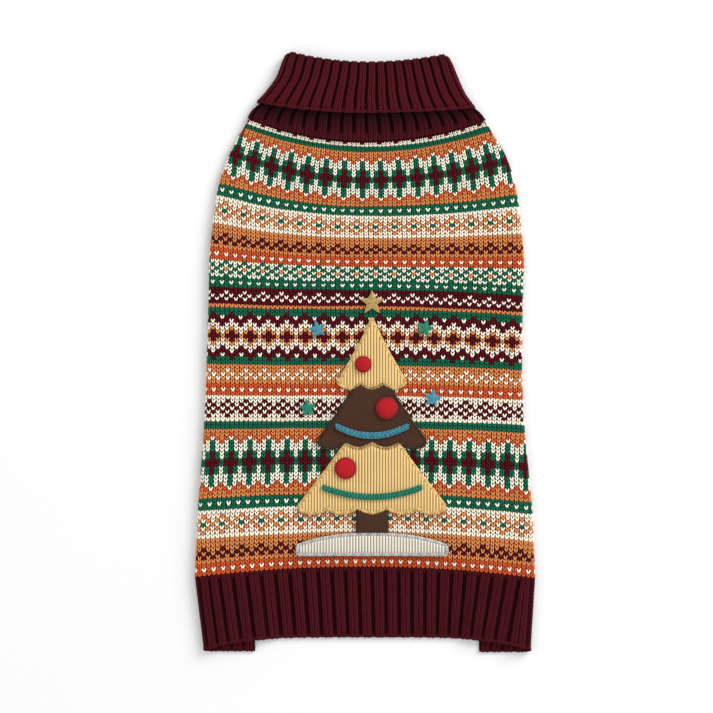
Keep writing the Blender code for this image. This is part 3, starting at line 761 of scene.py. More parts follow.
# Both ends of a leg in a cell one wale wide and one course high, and its widest half width
Leg = namedtuple("Leg", "foot head half")
BODY_LEG = Leg((0.05, -0.6), (0.38, 0.54), 0.16)
RIB_LEG = Leg((0.06, -0.74), (0.37, 0.72), 0.2)


def lobe(foot, head, half, sections, stations):
    """A rounded grain from foot to head, open underneath: its points, faces and strand places."""
    foot, head = np.array(foot), np.array(head)
    along = head - foot
    across = np.array((along[1], -along[0])) / np.linalg.norm(along)
    points, strand, rings = [], [], []
    for share, wide, high in stations:
        middle = foot + along * share
        places = (0.0,) if wide == 0.0 else sections
        ring = []
        for place in places:
            spot = middle + across * place * half * wide
            ring.append(len(points))
            points.append((spot[0], spot[1], high * math.sqrt(max(1 - place * place, 0.0))))
            strand.append((share * PLY[0], place * PLY[1], 0.0))
        rings.append(ring)
    faces = []
    for near, far in zip(rings, rings[1:]):
        if len(near) == 1:
            faces += [(near[0], b, a) for a, b in zip(far, far[1:])]
        elif len(far) == 1:
            faces += [(a, b, far[0]) for a, b in zip(near, near[1:])]
        else:
            faces += [(near[i], near[i + 1], far[i + 1], far[i]) for i in range(len(near) - 1)]
    return points, faces, strand


def make_shape(name, lobes):
    """A small shape of one or more lobes, to be sewn on. It isn't shown itself."""
    points, faces, strand = [], [], []
    for lobe_points, lobe_faces, lobe_strand in lobes:
        start = len(points)
        points += lobe_points
        strand += lobe_strand
        faces += [tuple(start + index for index in face) for face in lobe_faces]
    mesh = bpy.data.meshes.new(name)
    mesh.from_pydata(points, [], faces)
    shape = bmesh.new()
    shape.from_mesh(mesh)
    for polygon in shape.faces:
        polygon.normal_update()
        if polygon.normal.z < 0.0:
            polygon.normal_flip()
    shape.to_mesh(mesh)
    shape.free()
    mesh.shade_smooth()
    places = mesh.attributes.new("strand", "FLOAT_VECTOR", "POINT")
    places.data.foreach_set("vector", np.array(strand, np.float32).ravel())
    return bpy.data.objects.new(name, mesh)


# Places across a leg: rounder where it is seen close, plain underneath and in threads
ROUND = (-1.0, -0.45, 0.45, 1.0)
PLAIN = (-1.0, 0.0, 1.0)


def mirrored(point):
    return -point[0], point[1]


def make_stitch(name, leg, sections):
    return make_shape(name, [
        lobe(leg.foot, leg.head, leg.half, sections, LEG_SHAPE),
        lobe(mirrored(leg.foot), mirrored(leg.head), leg.half, sections, LEG_SHAPE)])


STITCH = make_stitch("stitch", BODY_LEG, ROUND)
RIB_STITCH = make_stitch("rib_stitch", RIB_LEG, ROUND)
UNDER_STITCH = make_stitch("under_stitch", BODY_LEG, PLAIN)
THREAD_SHAPE = make_shape("thread", [lobe((0.0, -0.5), (0.0, 0.5), 0.5, PLAIN, THREAD_LEG)])
Sewn = namedtuple("Sewn", "centre up along size colour")


def sew(name, sewn, shape, finish, unevenness, seed):
    """One piece of all the shapes sewn on at the given places, sizes in millimetres."""
    mesh = bpy.data.meshes.new(name)
    mesh.from_pydata((sewn.centre * MM).tolist(), [], [])
    for label, values in (("up", sewn.up), ("along", sewn.along), ("size", sewn.size * MM)):
        data = mesh.attributes.new(label, "FLOAT_VECTOR", "POINT")
        data.data.foreach_set("vector", np.asarray(values, np.float32).ravel())
    rgba = np.hstack([sewn.colour, np.ones((len(sewn.colour), 1))])
    yarn = mesh.attributes.new("yarn", "FLOAT_COLOR", "POINT")
    yarn.data.foreach_set("color", rgba.astype(np.float32).ravel())
    piece = bpy.data.objects.new(name, mesh)
    bpy.context.scene.collection.objects.link(piece)
    modifier = piece.modifiers.new("sewing", "NODES")
    modifier.node_group = SEWING
    values = {"Shape": shape, "Unevenness": unevenness, "Seed": seed, "Finish": finish}
    for socket in SEWING.interface.items_tree:
        if socket.in_out == "INPUT" and socket.name in values:
            modifier[socket.identifier] = values[socket.name]
    graph = bpy.context.evaluated_depsgraph_get()
    plain = bpy.data.meshes.new_from_object(piece.evaluated_get(graph), preserve_all_data_layers=True,
                                            depsgraph=graph)
    piece.modifiers.clear()
    spots = np.empty(3 * len(plain.vertices), np.float32)
    plain.vertices.foreach_get("co", spots)
    spots[2::3] = np.maximum(spots[2::3], 0.0)  # pressed flat by the table
    plain.vertices.foreach_set("co", spots)
    piece.data = plain
    for label in ("up", "along", "size"):
        if label in plain.attributes:
            plain.attributes.remove(plain.attributes[label])
    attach(piece, "root")
    return piece


def cells(grid, height, colours):
    """The stitches of a grid of cells, outward where across and along turn to it."""
    across = (grid[:-1, 1:] + grid[1:, 1:] - grid[:-1, :-1] - grid[1:, :-1]) / 2
    along = (grid[:-1, :-1] + grid[:-1, 1:] - grid[1:, :-1] - grid[1:, 1:]) / 2
    centre = (grid[:-1, :-1] + grid[:-1, 1:] + grid[1:, :-1] + grid[1:, 1:]) / 4
    up = unit(np.cross(across, along))
    wide = np.linalg.norm(across, axis=-1)
    high = np.linalg.norm(along, axis=-1)
    size = np.stack([wide, high, np.full(wide.shape, height)], axis=-1)
    return Sewn(centre, up, unit(along), size, np.broadcast_to(colours, centre.shape))


def pick(sewn, mask):
    return Sewn(*[values[mask] for values in sewn])


def join(parts):
    return Sewn(*[np.concatenate(values) for values in zip(*parts)])


def in_a_row(sewn):
    """The stitches of a grid as one list."""
    return Sewn(*[values.reshape(-1, 3) for values in sewn])


def upright(count):
    """Straight up, for so many shapes."""
    return np.tile((0.0, 0.0, 1.0), (count, 1))


# Body

def wrap(course, s, wall, inset, y_top, y_under, relief=0.0):
    """Points of a row at places s: over the top, round the side folds and back underneath.

    inset is how far the points lie behind the outer face.
    """
    radius = fold_radius(wall)
    left, right = course.left_x + radius, course.right_x - radius
    side = np.where(s < (left + right) / 2, -1.0, 1.0)
    centre = np.where(side < 0, left, right)
    over = np.maximum((s - centre) * side, 0.0)
    angle = np.clip(over / radius, 0.0, math.pi)
    rest = np.maximum(over - math.pi * radius, 0.0)
    x = np.where(over > 0, centre + side * ((radius - inset) * np.sin(angle) - rest), s)
    top_z = underside(course, np.clip(x, left, right)) + wall - inset + relief
    z = np.where(over > 0, radius + (radius - inset) * np.cos(angle), top_z)
    fold_y = lerp(y_under(centre), y_top(centre), (1 + np.cos(angle)) / 2)
    y = np.where(rest > 0, y_under(x), np.where(over > 0, fold_y, y_top(x)))
    return np.stack([x, y, z], axis=-1)


def wale_places(course_number):
    """Places of the chart's wale edges along one course."""
    rows = [row.course for row in WALE_PLACES]
    known = [np.interp(course_number, rows, [row[column + 1] for row in WALE_PLACES])
             for column in range(len(TABLE_WALES))]
    wales = [TABLE_WALES[0] - WALES_OUTSIDE, *TABLE_WALES, TABLE_WALES[-1] + WALES_OUTSIDE]
    outside = WALES_OUTSIDE * EDGE_PITCH
    known = [known[0] - outside, *known, known[-1] + outside]
    return np.interp(np.arange(FIRST_WALE, LAST_WALE + 1) - 0.5, wales, known)


def chart_colours(courses):
    """Colours of the stitches and of what shows between them in painted shade, a row for each of the
    first courses.
    """
    wales = np.arange(FIRST_WALE, LAST_WALE)
    stitches, ground = [], []
    for word in CHART[:courses]:
        behind = {letter: next((other for other in order if other in word), order[-1])
                  for letter, order in BEHIND.items()}
        stitches.append([YARNS[word[wale % 4]] for wale in wales])
        ground.append([CARRIED_SHADED[behind[word[wale % 4]]] for wale in wales])
    return np.array(stitches), np.array(ground)


def round_leg(points, x_at):
    """Moves points out of a front-leg opening, to its edge. Also says which lay inside."""
    wide, long = LEG_OUTER[0] + SEAM_GAP, LEG_OUTER[1] + SEAM_GAP
    dx, dy = (points[..., 0] - x_at) / wide, (points[..., 1] - LEG_Y) / long
    reach = np.hypot(dx, dy)
    inside = (reach < 1.0) & (points[..., 2] < LAYER_LIFT)
    safe = np.maximum(reach, 1e-3)
    moved = points.copy()
    moved[..., 0] = np.where(inside, x_at + dx / safe * wide, points[..., 0])
    moved[..., 1] = np.where(inside, LEG_Y + dy / safe * long, points[..., 1])
    return moved, inside


# Middles of the front-leg openings, on the side seams at their height
LEG_CENTRES = [float(x) for x in strip_ends(body_course(course_through(np.array(0.0), LEG_Y)))]


def grid_of(courses, place_row, *how):
    """A grid with one row of points for each course."""
    return np.array([place_row(number, *how) for number in courses])


def cut_legs(outer, inner):
    """Both grids, clear of the front-leg openings, and which of their faces lie inside these."""
    inside = np.zeros(outer.shape[:2], bool)
    for x_at in LEG_CENTRES:
        outer, hole = round_leg(outer, x_at)
        inner, _ = round_leg(inner, x_at)
        inside |= hole
    return outer, inner, inside[:-1, :-1] & inside[1:, :-1] & inside[:-1, 1:] & inside[1:, 1:]


def course_heights(numbers):
    return np.interp(numbers, [row.course for row in COURSE_HEIGHTS],
                     [row.centre_y for row in COURSE_HEIGHTS])


def make_back(cloth, yarn):
    count = len(CHART)
    radius = fold_radius(BODY_WALL)
    reach = math.pi * radius + STRIP_WIDTH - radius

    def row(number, inset):
        course = body_course(course_heights(number))
        left = course.left_x + radius - reach
        right = course.right_x - radius + reach
        places = wale_places(number)
        s = np.clip(places + WALE_WAVE * uneven(np.arange(len(places)), number), left, right)
        settled = COURSE_WAVE * min(number, count - number, EVEN_COURSES) / EVEN_COURSES

        def height(x):
            return course_y(course, x) + settled * uneven(x / EDGE_PITCH, number)

        return wrap(course, s, BODY_WALL, inset, height, height)

    courses = range(count + 1)
    outer, inner, drop = cut_legs(grid_of(courses, row, YARN), grid_of(courses, row, BODY_WALL))
    colours, ground = chart_colours(count)
    back = make_wall("back_cloth", outer, inner, cloth, ground, drop)
    stand_for("back_panel")
    stitches = cells(outer, YARN, colours)
    whole = (stitches.size[..., 0] > NARROWEST) & ~drop
    quarter = np.arange(count)[:, None] * 4 // count
    pieces = [sew(f"back_stitches_{number + 1}", pick(stitches, whole & (quarter == number)), STITCH,
                  yarn, unevenness=0.06, seed=11 + number) for number in range(4)]
    cut_size(outer, ~drop)


def under_row(centre_y, z, places_between):
    """A row of the under layer, at the places found between its two edges."""
    course = body_course(centre_y)
    left, right = strip_ends(course)
    x = places_between(left + SEAM_GAP, right - SEAM_GAP)
    return np.stack([x, course_y(course, x), np.full(x.shape, z)], axis=-1)


def make_belly(cloth, yarn):
    heights = course_heights(np.arange(len(CHART) + 1))
    count = int(np.searchsorted(-heights, -BELLY_END)) - 1
    numbers = list(range(count + 1)) + [float(np.interp(-BELLY_END, -heights, range(len(heights))))]

    def row(number, z):
        return under_row(course_heights(number), z,
                         lambda left, right: np.clip(wale_places(number), left, right)[::-1])

    outer, inner, drop = cut_legs(grid_of(numbers, row, YARN), grid_of(numbers, row, BODY_WALL))
    colours, ground = [values[:, ::-1] for values in chart_colours(len(numbers) - 1)]
    belly = make_wall("belly_cloth", outer, inner, cloth, ground, drop)
    stand_for("belly_panel")
    stitches = cells(outer, YARN, colours)
    whole = (stitches.size[..., 0] > NARROWEST) & (stitches.size[..., 1] > SHORTEST) & ~drop
    piece = sew("belly_stitches", pick(stitches, whole), UNDER_STITCH, yarn,
                unevenness=0.05, seed=21)
    cut_size(outer, ~drop)


# Ribs

def rib_stations(ribs, start, end):
    """Stations of the ribs and valleys on top, evenly from start to end: zone, place, relief."""
    stations = []
    for rib in range(ribs):
        for place, rise, sink in RIB_SHAPE:
            relief = RIB_HEIGHT * rise - VALLEY * sink
            stations.append(("top", lerp(start, end, (rib + place) / ribs), relief))
    return [*stations, ("top", end, -VALLEY)]


def rib_shades(ribs, before, after):
    """Ground colours of one row of faces, as painted shade: plain ones, then ribs and their darker
    valleys, then plain.
    """
    sunk = [shape[2] for shape in RIB_SHAPE]
    depths = [(near + far) / 2 for near, far in zip(sunk, sunk[1:] + sunk[:1])]
    shares = np.array([0.0] * before + depths * ribs + [0.0] * after)[:, None]
    return lerp(RIB_GROUND_SHADE, RIB_VALLEY_SHADE, shares)


def valleys_open(share):
    """How far the hem's valleys have opened: not yet at the seam, no longer at the edge."""
    return float(smoothstep((share - VALLEY_START) / VALLEY_RAMP)
                 * smoothstep((VALLEY_END - share) / VALLEY_RAMP))


def rib_lean(value, share):
    """How far a rib stands to the side of its even place, for the pull of the folded corners."""
    total = 0.0
    for lean in LEANS:
        rise = smoothstep((value - lean.start) / (lean.full - lean.start))
        fall = smoothstep((lean.end - value) / (lean.end - lean.fading))
        total -= lerp(lean.at_seam, lean.at_edge, share) * rise * fall
    return total


def make_hem(cloth, yarn):
    seam = BODY_COURSES[-1]
    radius = fold_radius(RIB_WALL)
    turn = math.pi * radius

    def row(share, stations, inset, raised=True):
        course = Course(*[lerp(a, b, share) for a, b in zip(seam, HEM_EDGE)])
        left, right = course.left_x + radius, course.right_x - radius
        strip = lerp(STRIP_WIDTH, FLAP_WIDTH, share) - radius
        s, relief = [], []
        for zone, value, rise in stations:
            side, fold = (-1, left) if zone.endswith("left") else (1, right)
            if zone == "top":
                s.append(lerp(left, right, value) + rib_lean(value, share))
            elif zone.startswith("under"):
                s.append(fold + side * (turn + value * strip))
            else:
                s.append(fold + side * value * turn)
            rise = rise if rise > 0 else rise * valleys_open(share)
            relief.append(rise if raised else 0.0)

        def y_top(x):
            return lerp(course_y(seam, x), course_y(HEM_EDGE, x, HEM_BOW), share) - SEAM_GAP

        def y_under(x):
            flap = np.where(x < 0, FLAP_EDGE_LEFT, FLAP_EDGE_RIGHT)
            return lerp(course_y(seam, x), flap, share) - SEAM_GAP

        return wrap(course, np.array(s), RIB_WALL, inset, y_top, y_under, np.array(relief))

    strip_places = [1.0 - place / STRIP_CELLS for place in range(STRIP_CELLS)]
    stations = [("under_left", value, 0.0) for value in strip_places]
    stations += [("left", value, 0.0) for value in reversed(FOLD_PLACES)]
    first = len(stations)
    stations += rib_stations(HEM_RIBS, 0.0, 1.0)
    last = len(stations) - 1
    for number in (first, first + 1, last - 1, last):
        zone, value, rise = stations[number]
        stations[number] = (zone, value, rise * EDGE_VALLEY)
    stations += [("right", value, 0.0) for value in FOLD_PLACES]
    stations += [("under_right", value, 0.0) for value in reversed(strip_places)]
    shares = np.linspace(0.0, 1.0, HEM_COURSES + 1)
    outer = grid_of(shares, row, stations, YARN)
    inner = grid_of(shares, row, stations, RIB_WALL, False)
    shades = rib_shades(HEM_RIBS, first, first)
    for face in (first, first + 1, last - 2, last - 1):
        shades[face] = lerp(RIB_GROUND_SHADE, shades[face], EDGE_VALLEY)
    colours = np.array([lerp(RIB_GROUND_SHADE, shades, valleys_open(share))
                        for share in (shares[1:] + shares[:-1]) / 2])
    hem = make_wall("hem_cloth", outer, inner, cloth, colours)
    stand_for("hem_band")

    parts = []

    def add_stitches(rib, rows=shares):
        parts.append(in_a_row(cells(grid_of(rows, row, rib, YARN), YARN, RIB_YARN * HEM_TONE)))

    def add_rib(zone, start, width, raised):
        rib = [(zone, start + width * place, RIB_HEIGHT * rise * raised)
               for place, rise in zip(RIB_WALES, WALE_RISES)]
        if zone.endswith("left"):
            rib.reverse()
        add_stitches(rib)

    for rib in range(HEM_RIBS):
        add_rib("top", rib / HEM_RIBS, 1 / HEM_RIBS, 1.0)
        if rib > 0:
            between = [("top", (rib + place) / HEM_RIBS, 0.0) for place in VALLEY_WALE]
            add_stitches(between, shares[:2])
    for zone in ("left", "right"):
        add_rib(zone, 0.0, 1.0, 0.0)
    for zone in ("under_left", "under_right"):
        for rib in range(FLAP_RIBS):
            add_rib(zone, rib / FLAP_RIBS, 1 / FLAP_RIBS, 0.0)
    stitches = sew("hem_stitches", join(parts), RIB_STITCH, yarn, unevenness=0.05, seed=31)
    # The flaps' upper faces, where they show past the back's edge
    parts.clear()
    for side, edge in ((-1, FLAP_EDGE_LEFT), (1, FLAP_EDGE_RIGHT)):
        fold = HEM_EDGE.left_x if side < 0 else HEM_EDGE.right_x
        rows = [edge + FLAP_SEEN - FLAP_COURSE * number for number in range(FLAP_COURSES)]
        for rib in range(FLAP_RIBS):
            near = fold - side * (FLAP_START + rib * FLAP_PITCH)
            places = sorted(near - side * FLAP_PITCH * place for place in RIB_WALES)
            grid = np.array([[(x, y, RIB_WALL - FLAP_SINK) for x in places] for y in rows])
            parts.append(in_a_row(cells(grid, LOW_YARN, RIB_YARN)))
    flaps = sew("hem_flap_stitches", join(parts), RIB_STITCH, yarn, unevenness=0.06, seed=32)
    # The cast-off edge runs on over ribs and valleys
    edge_row = row(1.0, stations, CAST_OFF_SINK) + (0.0, CAST_OFF_INSET, 0.0)
    casting = edge_chain(edge_row, *HEM_CHAIN, RIB_YARN * HEM_TONE, CAST_OFF_CLEAR)
    cast_off = sew("hem_cast_off", casting, RIB_STITCH, yarn, unevenness=0.08, seed=33)
    cut_size(inner)


def along_path(path, step, clear=0.0):
    """Points at even steps along a path, clear of its ends, with its direction at each."""
    reach = np.concatenate([[0.0], np.cumsum(np.linalg.norm(np.diff(path, axis=0), axis=1))])
    places = np.arange(clear + step / 2, reach[-1] - clear, step)

    def points_at(shift):
        return np.stack([np.interp(places + shift, reach, axis) for axis in path.T], axis=-1)

    return points_at(0.0), unit(points_at(0.6 * step) - points_at(-0.6 * step))


def edge_chain(path, step, width, colour, clear=0.0):
    """A chain of stitches along an edge, outward where the edge runs to the right on top."""
    found, direction = along_path(path, step, clear)
    up = unit(np.column_stack([-direction[:, 2], np.zeros(len(found)), direction[:, 0]]))
    size = np.tile((width, step, YARN), (len(found), 1))
    return Sewn(found, up, direction, size, np.tile(colour, (len(found), 1)))


def collar_loop(row, half, stations, shift=0.0, rib_shift=0.0, ribbed=True):
    """One loop of the collar at its stations, inside the row's own outline by its half height."""
    left, right = row.left_x + row.half, row.right_x - row.half
    outline = Course(*row[:5])
    middle, half_width = (row.left_x + row.right_x) / 2, (row.right_x - row.left_x) / 2
    loop = []
    for zone, value, rise in stations:
        lift = rise if ribbed else 0.0
        if zone in ("top", "below"):
            x = lerp(left, right, (value + 1) / 2)
            bulge = row.bulge * (1 - value * value)
            z = row.mid_z + half + bulge + lift if zone == "top" else row.mid_z - half
        else:
            side, fold = (1, right) if zone == "right" else (-1, left)
            x = fold + side * half * math.cos(math.radians(value))
            z = row.mid_z + half * math.sin(math.radians(value))
        past = (abs(x - middle) / half_width - CORNER_START) / (1.0 - CORNER_START)
        y = float(course_y(outline, np.array(x)) - row.drop * smoothstep(past))
        loop.append((x, y + shift + lift * rib_shift, z))
    return loop


def collar_stations():
    stations = rib_stations(COLLAR_RIBS, -1.0, 1.0)
    stations += [("right", angle, 0.0) for angle in COLLAR_SIDE]
    stations += [("below", value, 0.0) for value in np.linspace(1.0, -1.0, BELOW_POINTS)]
    stations += [("left", angle, 0.0) for angle in reversed(COLLAR_SIDE)]
    return stations


def outer_path(inset):
    """The turned-down face from its free edge over the crest.

    Each step holds a row, its half height, its shift up, and the ribs' shift up and share of relief.
    """
    path = []
    crest = TURNOVER_ROWS[-1]
    free_y, top_y = TURNOVER_ROWS[0].centre_y, crest.centre_y
    for centre_y in np.linspace(free_y, top_y - 1.0, TURNOVER_COURSES + 1):
        row = read_table(TURNOVER_ROWS, centre_y)
        settle = CREST_RADIUS * smoothstep((centre_y - top_y + CREST_START) / CREST_START)
        share = lerp(EDGE_RIBS, 1.0, float(smoothstep((centre_y - free_y) / EDGE_RISE)))
        path.append((row, row.half - inset, -float(settle), 0.0, share))
    radius = CREST_RADIUS - inset
    for angle in CREST_ANGLES:
        out, up = math.cos(math.radians(angle)), math.sin(math.radians(angle))
        path.append((crest, CREST_HALF + radius * out, radius * up - CREST_RADIUS, up, max(out, 0.0)))
    return path


def stand_open(centre_y):
    """How far the stand's valleys have opened above the neck seam."""
    return float(smoothstep((centre_y - STAND_ROWS[-1].centre_y) / STAND_RISE))


def stand_path(inset):
    """The same for the stand, from under the free edge down to the neck seam."""
    path = []
    for centre_y in np.linspace(STAND_TOP, STAND_ROWS[-1].centre_y, STAND_COURSES + 1):
        row = read_table(STAND_ROWS, centre_y)
        share = lerp(STAND_RIBS_AT_SEAM, 1.0, stand_open(centre_y))
        path.append((row, row.half - inset, 0.0, 0.0, share))
    return path


def path_grid(path, stations):
    grid = []
    for row, half, shift, rib_shift, share in path:
        scaled = [(zone, value, rise * share) for zone, value, rise in stations]
        grid.append(collar_loop(row, half, scaled, shift, rib_shift))
    return np.array(grid)


def stand_shade_tone(share):
    """Share of the yarn's colour, as painted shade, from the stand's top under the free edge to the
    seam.
    """
    start, end = STAND_SHADE
    return lerp(*STAND_SHADE_TONES, smoothstep((share - start) / (end - start)))


def stand_shade_tones(wales):
    """The same for every stitch of so many wales of the stand."""
    share = ((np.arange(STAND_COURSES) + 0.5) / STAND_COURSES)[:, None, None]
    return stand_shade_tone(share) * np.ones((1, wales, 1))


def stand_ground(above_seam, shades):
    """Colours of what shows between the stand's stitches, so many courses above the seam, darkened as
    painted shade.
    """
    share = max(1.0 - above_seam / STAND_COURSES, 0.0)
    centre_y = lerp(STAND_TOP, STAND_ROWS[-1].centre_y, share)
    return lerp(RIB_GROUND_SHADE, shades, stand_open(centre_y)) * VALLEY_TONE * stand_shade_tone(share)


def make_collar(cloth, yarn):
    stations = collar_stations()
    free, crest = TURNOVER_ROWS[0], TURNOVER_ROWS[-1]

    def plain_loop(row, inset):
        shift = -CREST_RADIUS if row.centre_y == crest.centre_y else 0.0
        return collar_loop(row, row.half - inset, stations, shift, ribbed=False)

    rings = [collar_loop(free, free.half - COLLAR_WALL / 2, stations, -FREE_EDGE_DROP, ribbed=False)]
    rings += path_grid(outer_path(LOW_YARN), stations).tolist()
    rings += [plain_loop(row, COLLAR_WALL) for row in STAND_ROWS]
    first_of_stand = len(rings)
    rings += path_grid(stand_path(LOW_YARN)[::-1], stations).tolist()
    rings += [plain_loop(row, LOW_YARN) for row in (STAND_ROWS[1], STAND_ROWS[0])]
    rings += [plain_loop(row, COLLAR_WALL) for row in reversed(TURNOVER_ROWS)]
    count = len(stations)
    shades = rib_shades(COLLAR_RIBS, 0, count - len(RIB_SHAPE) * COLLAR_RIBS)
    colours = np.array([lerp(RIB_GROUND_SHADE, shades, min(ring / 2, 1.0)) for ring in range(len(rings))])
    for ring in range(first_of_stand, len(rings)):
        colours[ring] = stand_ground(ring - first_of_stand + 0.5, shades)
    collar = make_piece("collar_cloth", np.array(rings).reshape(-1, 3), ring_faces(len(rings), count),
                        cloth, colours.reshape(-1, 3))
    face_outwards(collar)
    stand_for("collar")

    parts = []

    def add_stitches(path, rib, tones):
        found = cells(path_grid(path, rib), YARN, RIB_YARN * tones)
        parts.append(pick(found, found.size[..., 1] > SHORTEST_RIB_STITCH))

    ribs = []
    for rib in range(COLLAR_RIBS):
        places = [2 * (rib + place) / COLLAR_RIBS - 1 for place in RIB_WALES]
        ribs.append([("top", value, RIB_HEIGHT * rise) for value, rise in zip(places, WALE_RISES)])
        ribs.append([("below", value, 0.0) for value in reversed(places)])
    for angles in SIDE_RIBS:
        ribs.append([("right", angle, 0.0) for angle in angles])
        ribs.append([("left", angle, 0.0) for angle in reversed(angles)])
    for rib in ribs:
        add_stitches(outer_path(LOW_YARN)[::-1], rib, 1.0)
        add_stitches(stand_path(LOW_YARN), rib, stand_shade_tones(len(rib) - 1))
    # Above the seam the valleys are knitted shut
    for rib in range(1, COLLAR_RIBS):
        between = [("top", 2 * (rib + place) / COLLAR_RIBS - 1, 0.0) for place in VALLEY_WALE]
        add_stitches(stand_path(LOW_YARN)[-SHUT_COURSES - 1:], between, stand_shade_tone(SHUT_PLACE))
    stitches = sew("collar_stitches", join(parts), RIB_STITCH, yarn, unevenness=0.05, seed=41)
    drop, depth, relief, rib_shift = COLLAR_CAST_OFF
    soft = [(zone, value, relief * rise) for zone, value, rise in stations]
    edge = np.array(collar_loop(free, free.half - depth, soft, -drop, rib_shift))
    casting = edge_chain(np.vstack([edge, edge[:1]]), *COLLAR_CHAIN, RIB_YARN)
    cast_off = sew("collar_cast_off", casting, RIB_STITCH, yarn, unevenness=0.08, seed=42)
    plain = [(zone, value, 0.0) for zone, value, _ in stations]
    round_it = [*plain, plain[0]]
    turned_down = path_grid(outer_path(COLLAR_WALL / 2), round_it)
    stand = [collar_loop(row, row.half - COLLAR_WALL / 2, round_it) for row in STAND_ROWS]
    size = cut_size(np.concatenate([turned_down, stand]))


def leg_ring(x_at, share, z):
    """A ring round a front leg, from the band's outer edge to its inner by its share."""
    turns = np.linspace(0.0, 2 * math.pi, LEG_STITCHES + 1)
    wide, long = (size - LEG_BAND * share for size in LEG_OUTER)
    return np.column_stack([x_at + wide * np.cos(turns), LEG_Y + long * np.sin(turns),
                            np.full(len(turns), z)])


def make_leg_band(name, x_at, cloth, yarn):
    """One band, narrower than a sheet may be: it counts with the belly it is sewn to."""
    profile = ((0.0, YARN), (0.5, YARN), (1.0, YARN), (1.0, BODY_WALL), (0.0, BODY_WALL))
    rings = np.array([leg_ring(x_at, share, z)[:-1] for share, z in profile])
    band = make_piece(f"{name}_cloth", rings.reshape(-1, 3), ring_faces(*rings.shape[:2]), cloth,
                      RIB_YARN * GROUND_SHADE_TONE)
    face_outwards(band)
    stand_for(name)
    rows = np.array([leg_ring(x_at, share, YARN) for share in (1.0, 2 / 3, 1 / 3, 0.0)])
    sewn = in_a_row(cells(rows, YARN, RIB_YARN))
    stitches = sew(f"{name}_stitches", sewn, RIB_STITCH, yarn, unevenness=0.05, seed=51)
    return [band, stitches]


def make_belly_band(cloth, yarn):
    places = np.linspace(0.0, 1.0, BAND_STITCHES + 1)
    heights = np.linspace(BELLY_END - SEAM_GAP, CUT_OUT_TOP, BAND_COURSES + 1)

    def row(centre_y, z):
        return under_row(centre_y, z, lambda left, right: lerp(right, left, places))

    outer, inner = grid_of(heights, row, YARN), grid_of(heights, row, BODY_WALL)
    band = make_wall("belly_band_cloth", outer, inner, cloth, RIB_YARN * GROUND_SHADE_TONE)
    stand_for("belly_band")
    found = cells(outer, YARN, RIB_YARN)
    ribbed = np.broadcast_to(np.arange(BAND_STITCHES) % 3 < 2, found.centre.shape[:2])
    stitches = sew("belly_band_stitches", pick(found, ribbed), RIB_STITCH, yarn,
                   unevenness=0.05, seed=61)
    cut_size(outer)


# Applique

def tier_side(tier, x):
    return lerp(tier.apex, tier.corner, (np.abs(x - TREE_X) / tier.half_width) ** (1 / TIER_CURVE))


def tier_low(tier, x):
    across = (x - TREE_X + tier.half_width) / (2 * tier.half_width)
    return tier.corner - SCALLOP_DEPTH * np.abs(np.sin(math.pi * tier.scallops * across))


def tier_high(number, x):
    tier = TIERS[number]
    edge = tier_side(tier, x)
    if number > 0:
        above = TIERS[number - 1]
        covered = np.abs(x - TREE_X) < above.half_width
        edge = np.where(covered, np.minimum(edge, tier_low(above, x) - SEAM_GAP), edge)
    return edge


def tier_top(x, y):
    return panel_top(x, y) + SEAM_GAP + TIER_THICK


def mound_top(x):
    return MOUND_TOP - MOUND_DROP * (np.abs(x - TREE_X) / MOUND_HALF) ** MOUND_CURVE


def ridge_at(x):
    """Height of the corduroy there, from 0 between two ridges to 1 on one."""
    return (0.5 + 0.5 * np.cos(2 * math.pi * (x - TREE_X) / WALE_PITCH)) ** RIDGE_CURVE


def make_patch(name, low, high, half_width, thick, finish, corded, gap):
    """A patch on the back: its columns follow the corduroy's ridges.

    Gives the piece, its rim and its cut size.
    """
    per_wale = 6 if corded else 2
    columns = int(2 * half_width / WALE_PITCH) * per_wale
    x = np.linspace(TREE_X - half_width, TREE_X + half_width, columns + 1)
    top_y, low_y = high(x) - gap, low(x) + gap
    y = np.array([lerp(top_y, low_y, row / PATCH_ROWS) for row in range(PATCH_ROWS + 1)])
    wide = np.broadcast_to(x, y.shape)
    base = panel_top(wide, y) + SEAM_GAP
    from_side = np.broadcast_to(np.minimum(x - x[0], x[-1] - x), y.shape)
    from_edge = np.minimum.reduce([from_side, y[0] - y, y - y[-1]])
    rounding = RIM_SHARE + (1.0 - RIM_SHARE) * smoothstep(from_edge / RIM_WIDTH)
    ridge = ridge_at(wide) if corded else np.ones(y.shape)
    top = base + (thick - WALE_HEIGHT) * rounding + WALE_HEIGHT * ridge * rounding
    outer = np.stack([wide, y, top], axis=-1)
    inner = np.stack([wide, y, base], axis=-1)
    piece = make_wall(name, outer, inner, finish)
    if corded:
        data = piece.data.attributes.new("ridge", "FLOAT", "POINT")
        data.data.foreach_set("value", [ridge_at(vertex.co.x / MM) for vertex in piece.data.vertices])
    rim = np.concatenate([outer[0], outer[:, -1], outer[-1, ::-1], outer[::-1, 0]])
    return piece, rim, cut_size(inner)


def satin_edge(name, rim, colour, finish, width=SATIN_WIDTH):
    """Satin stitches across a rim, close together all the way round."""
    found, direction = along_path(np.vstack([rim, rim[:1]]), THREAD)
    up = upright(len(found))
    across = unit(np.cross(up, direction))
    size = np.tile((THREAD * 1.25, width, SATIN_HEIGHT), (len(found), 1))
    number = np.arange(len(found))
    glint = 1.0 + 0.22 * np.sin(number * 1.3) + 0.14 * np.sin(number * 0.37 + 1.0)
    sewn = Sewn(found + (0.0, 0.0, SATIN_LIFT), up, across, size, colour * glint[:, None])
    return sew(name, sewn, THREAD_SHAPE, finish, unevenness=0.07, seed=71)


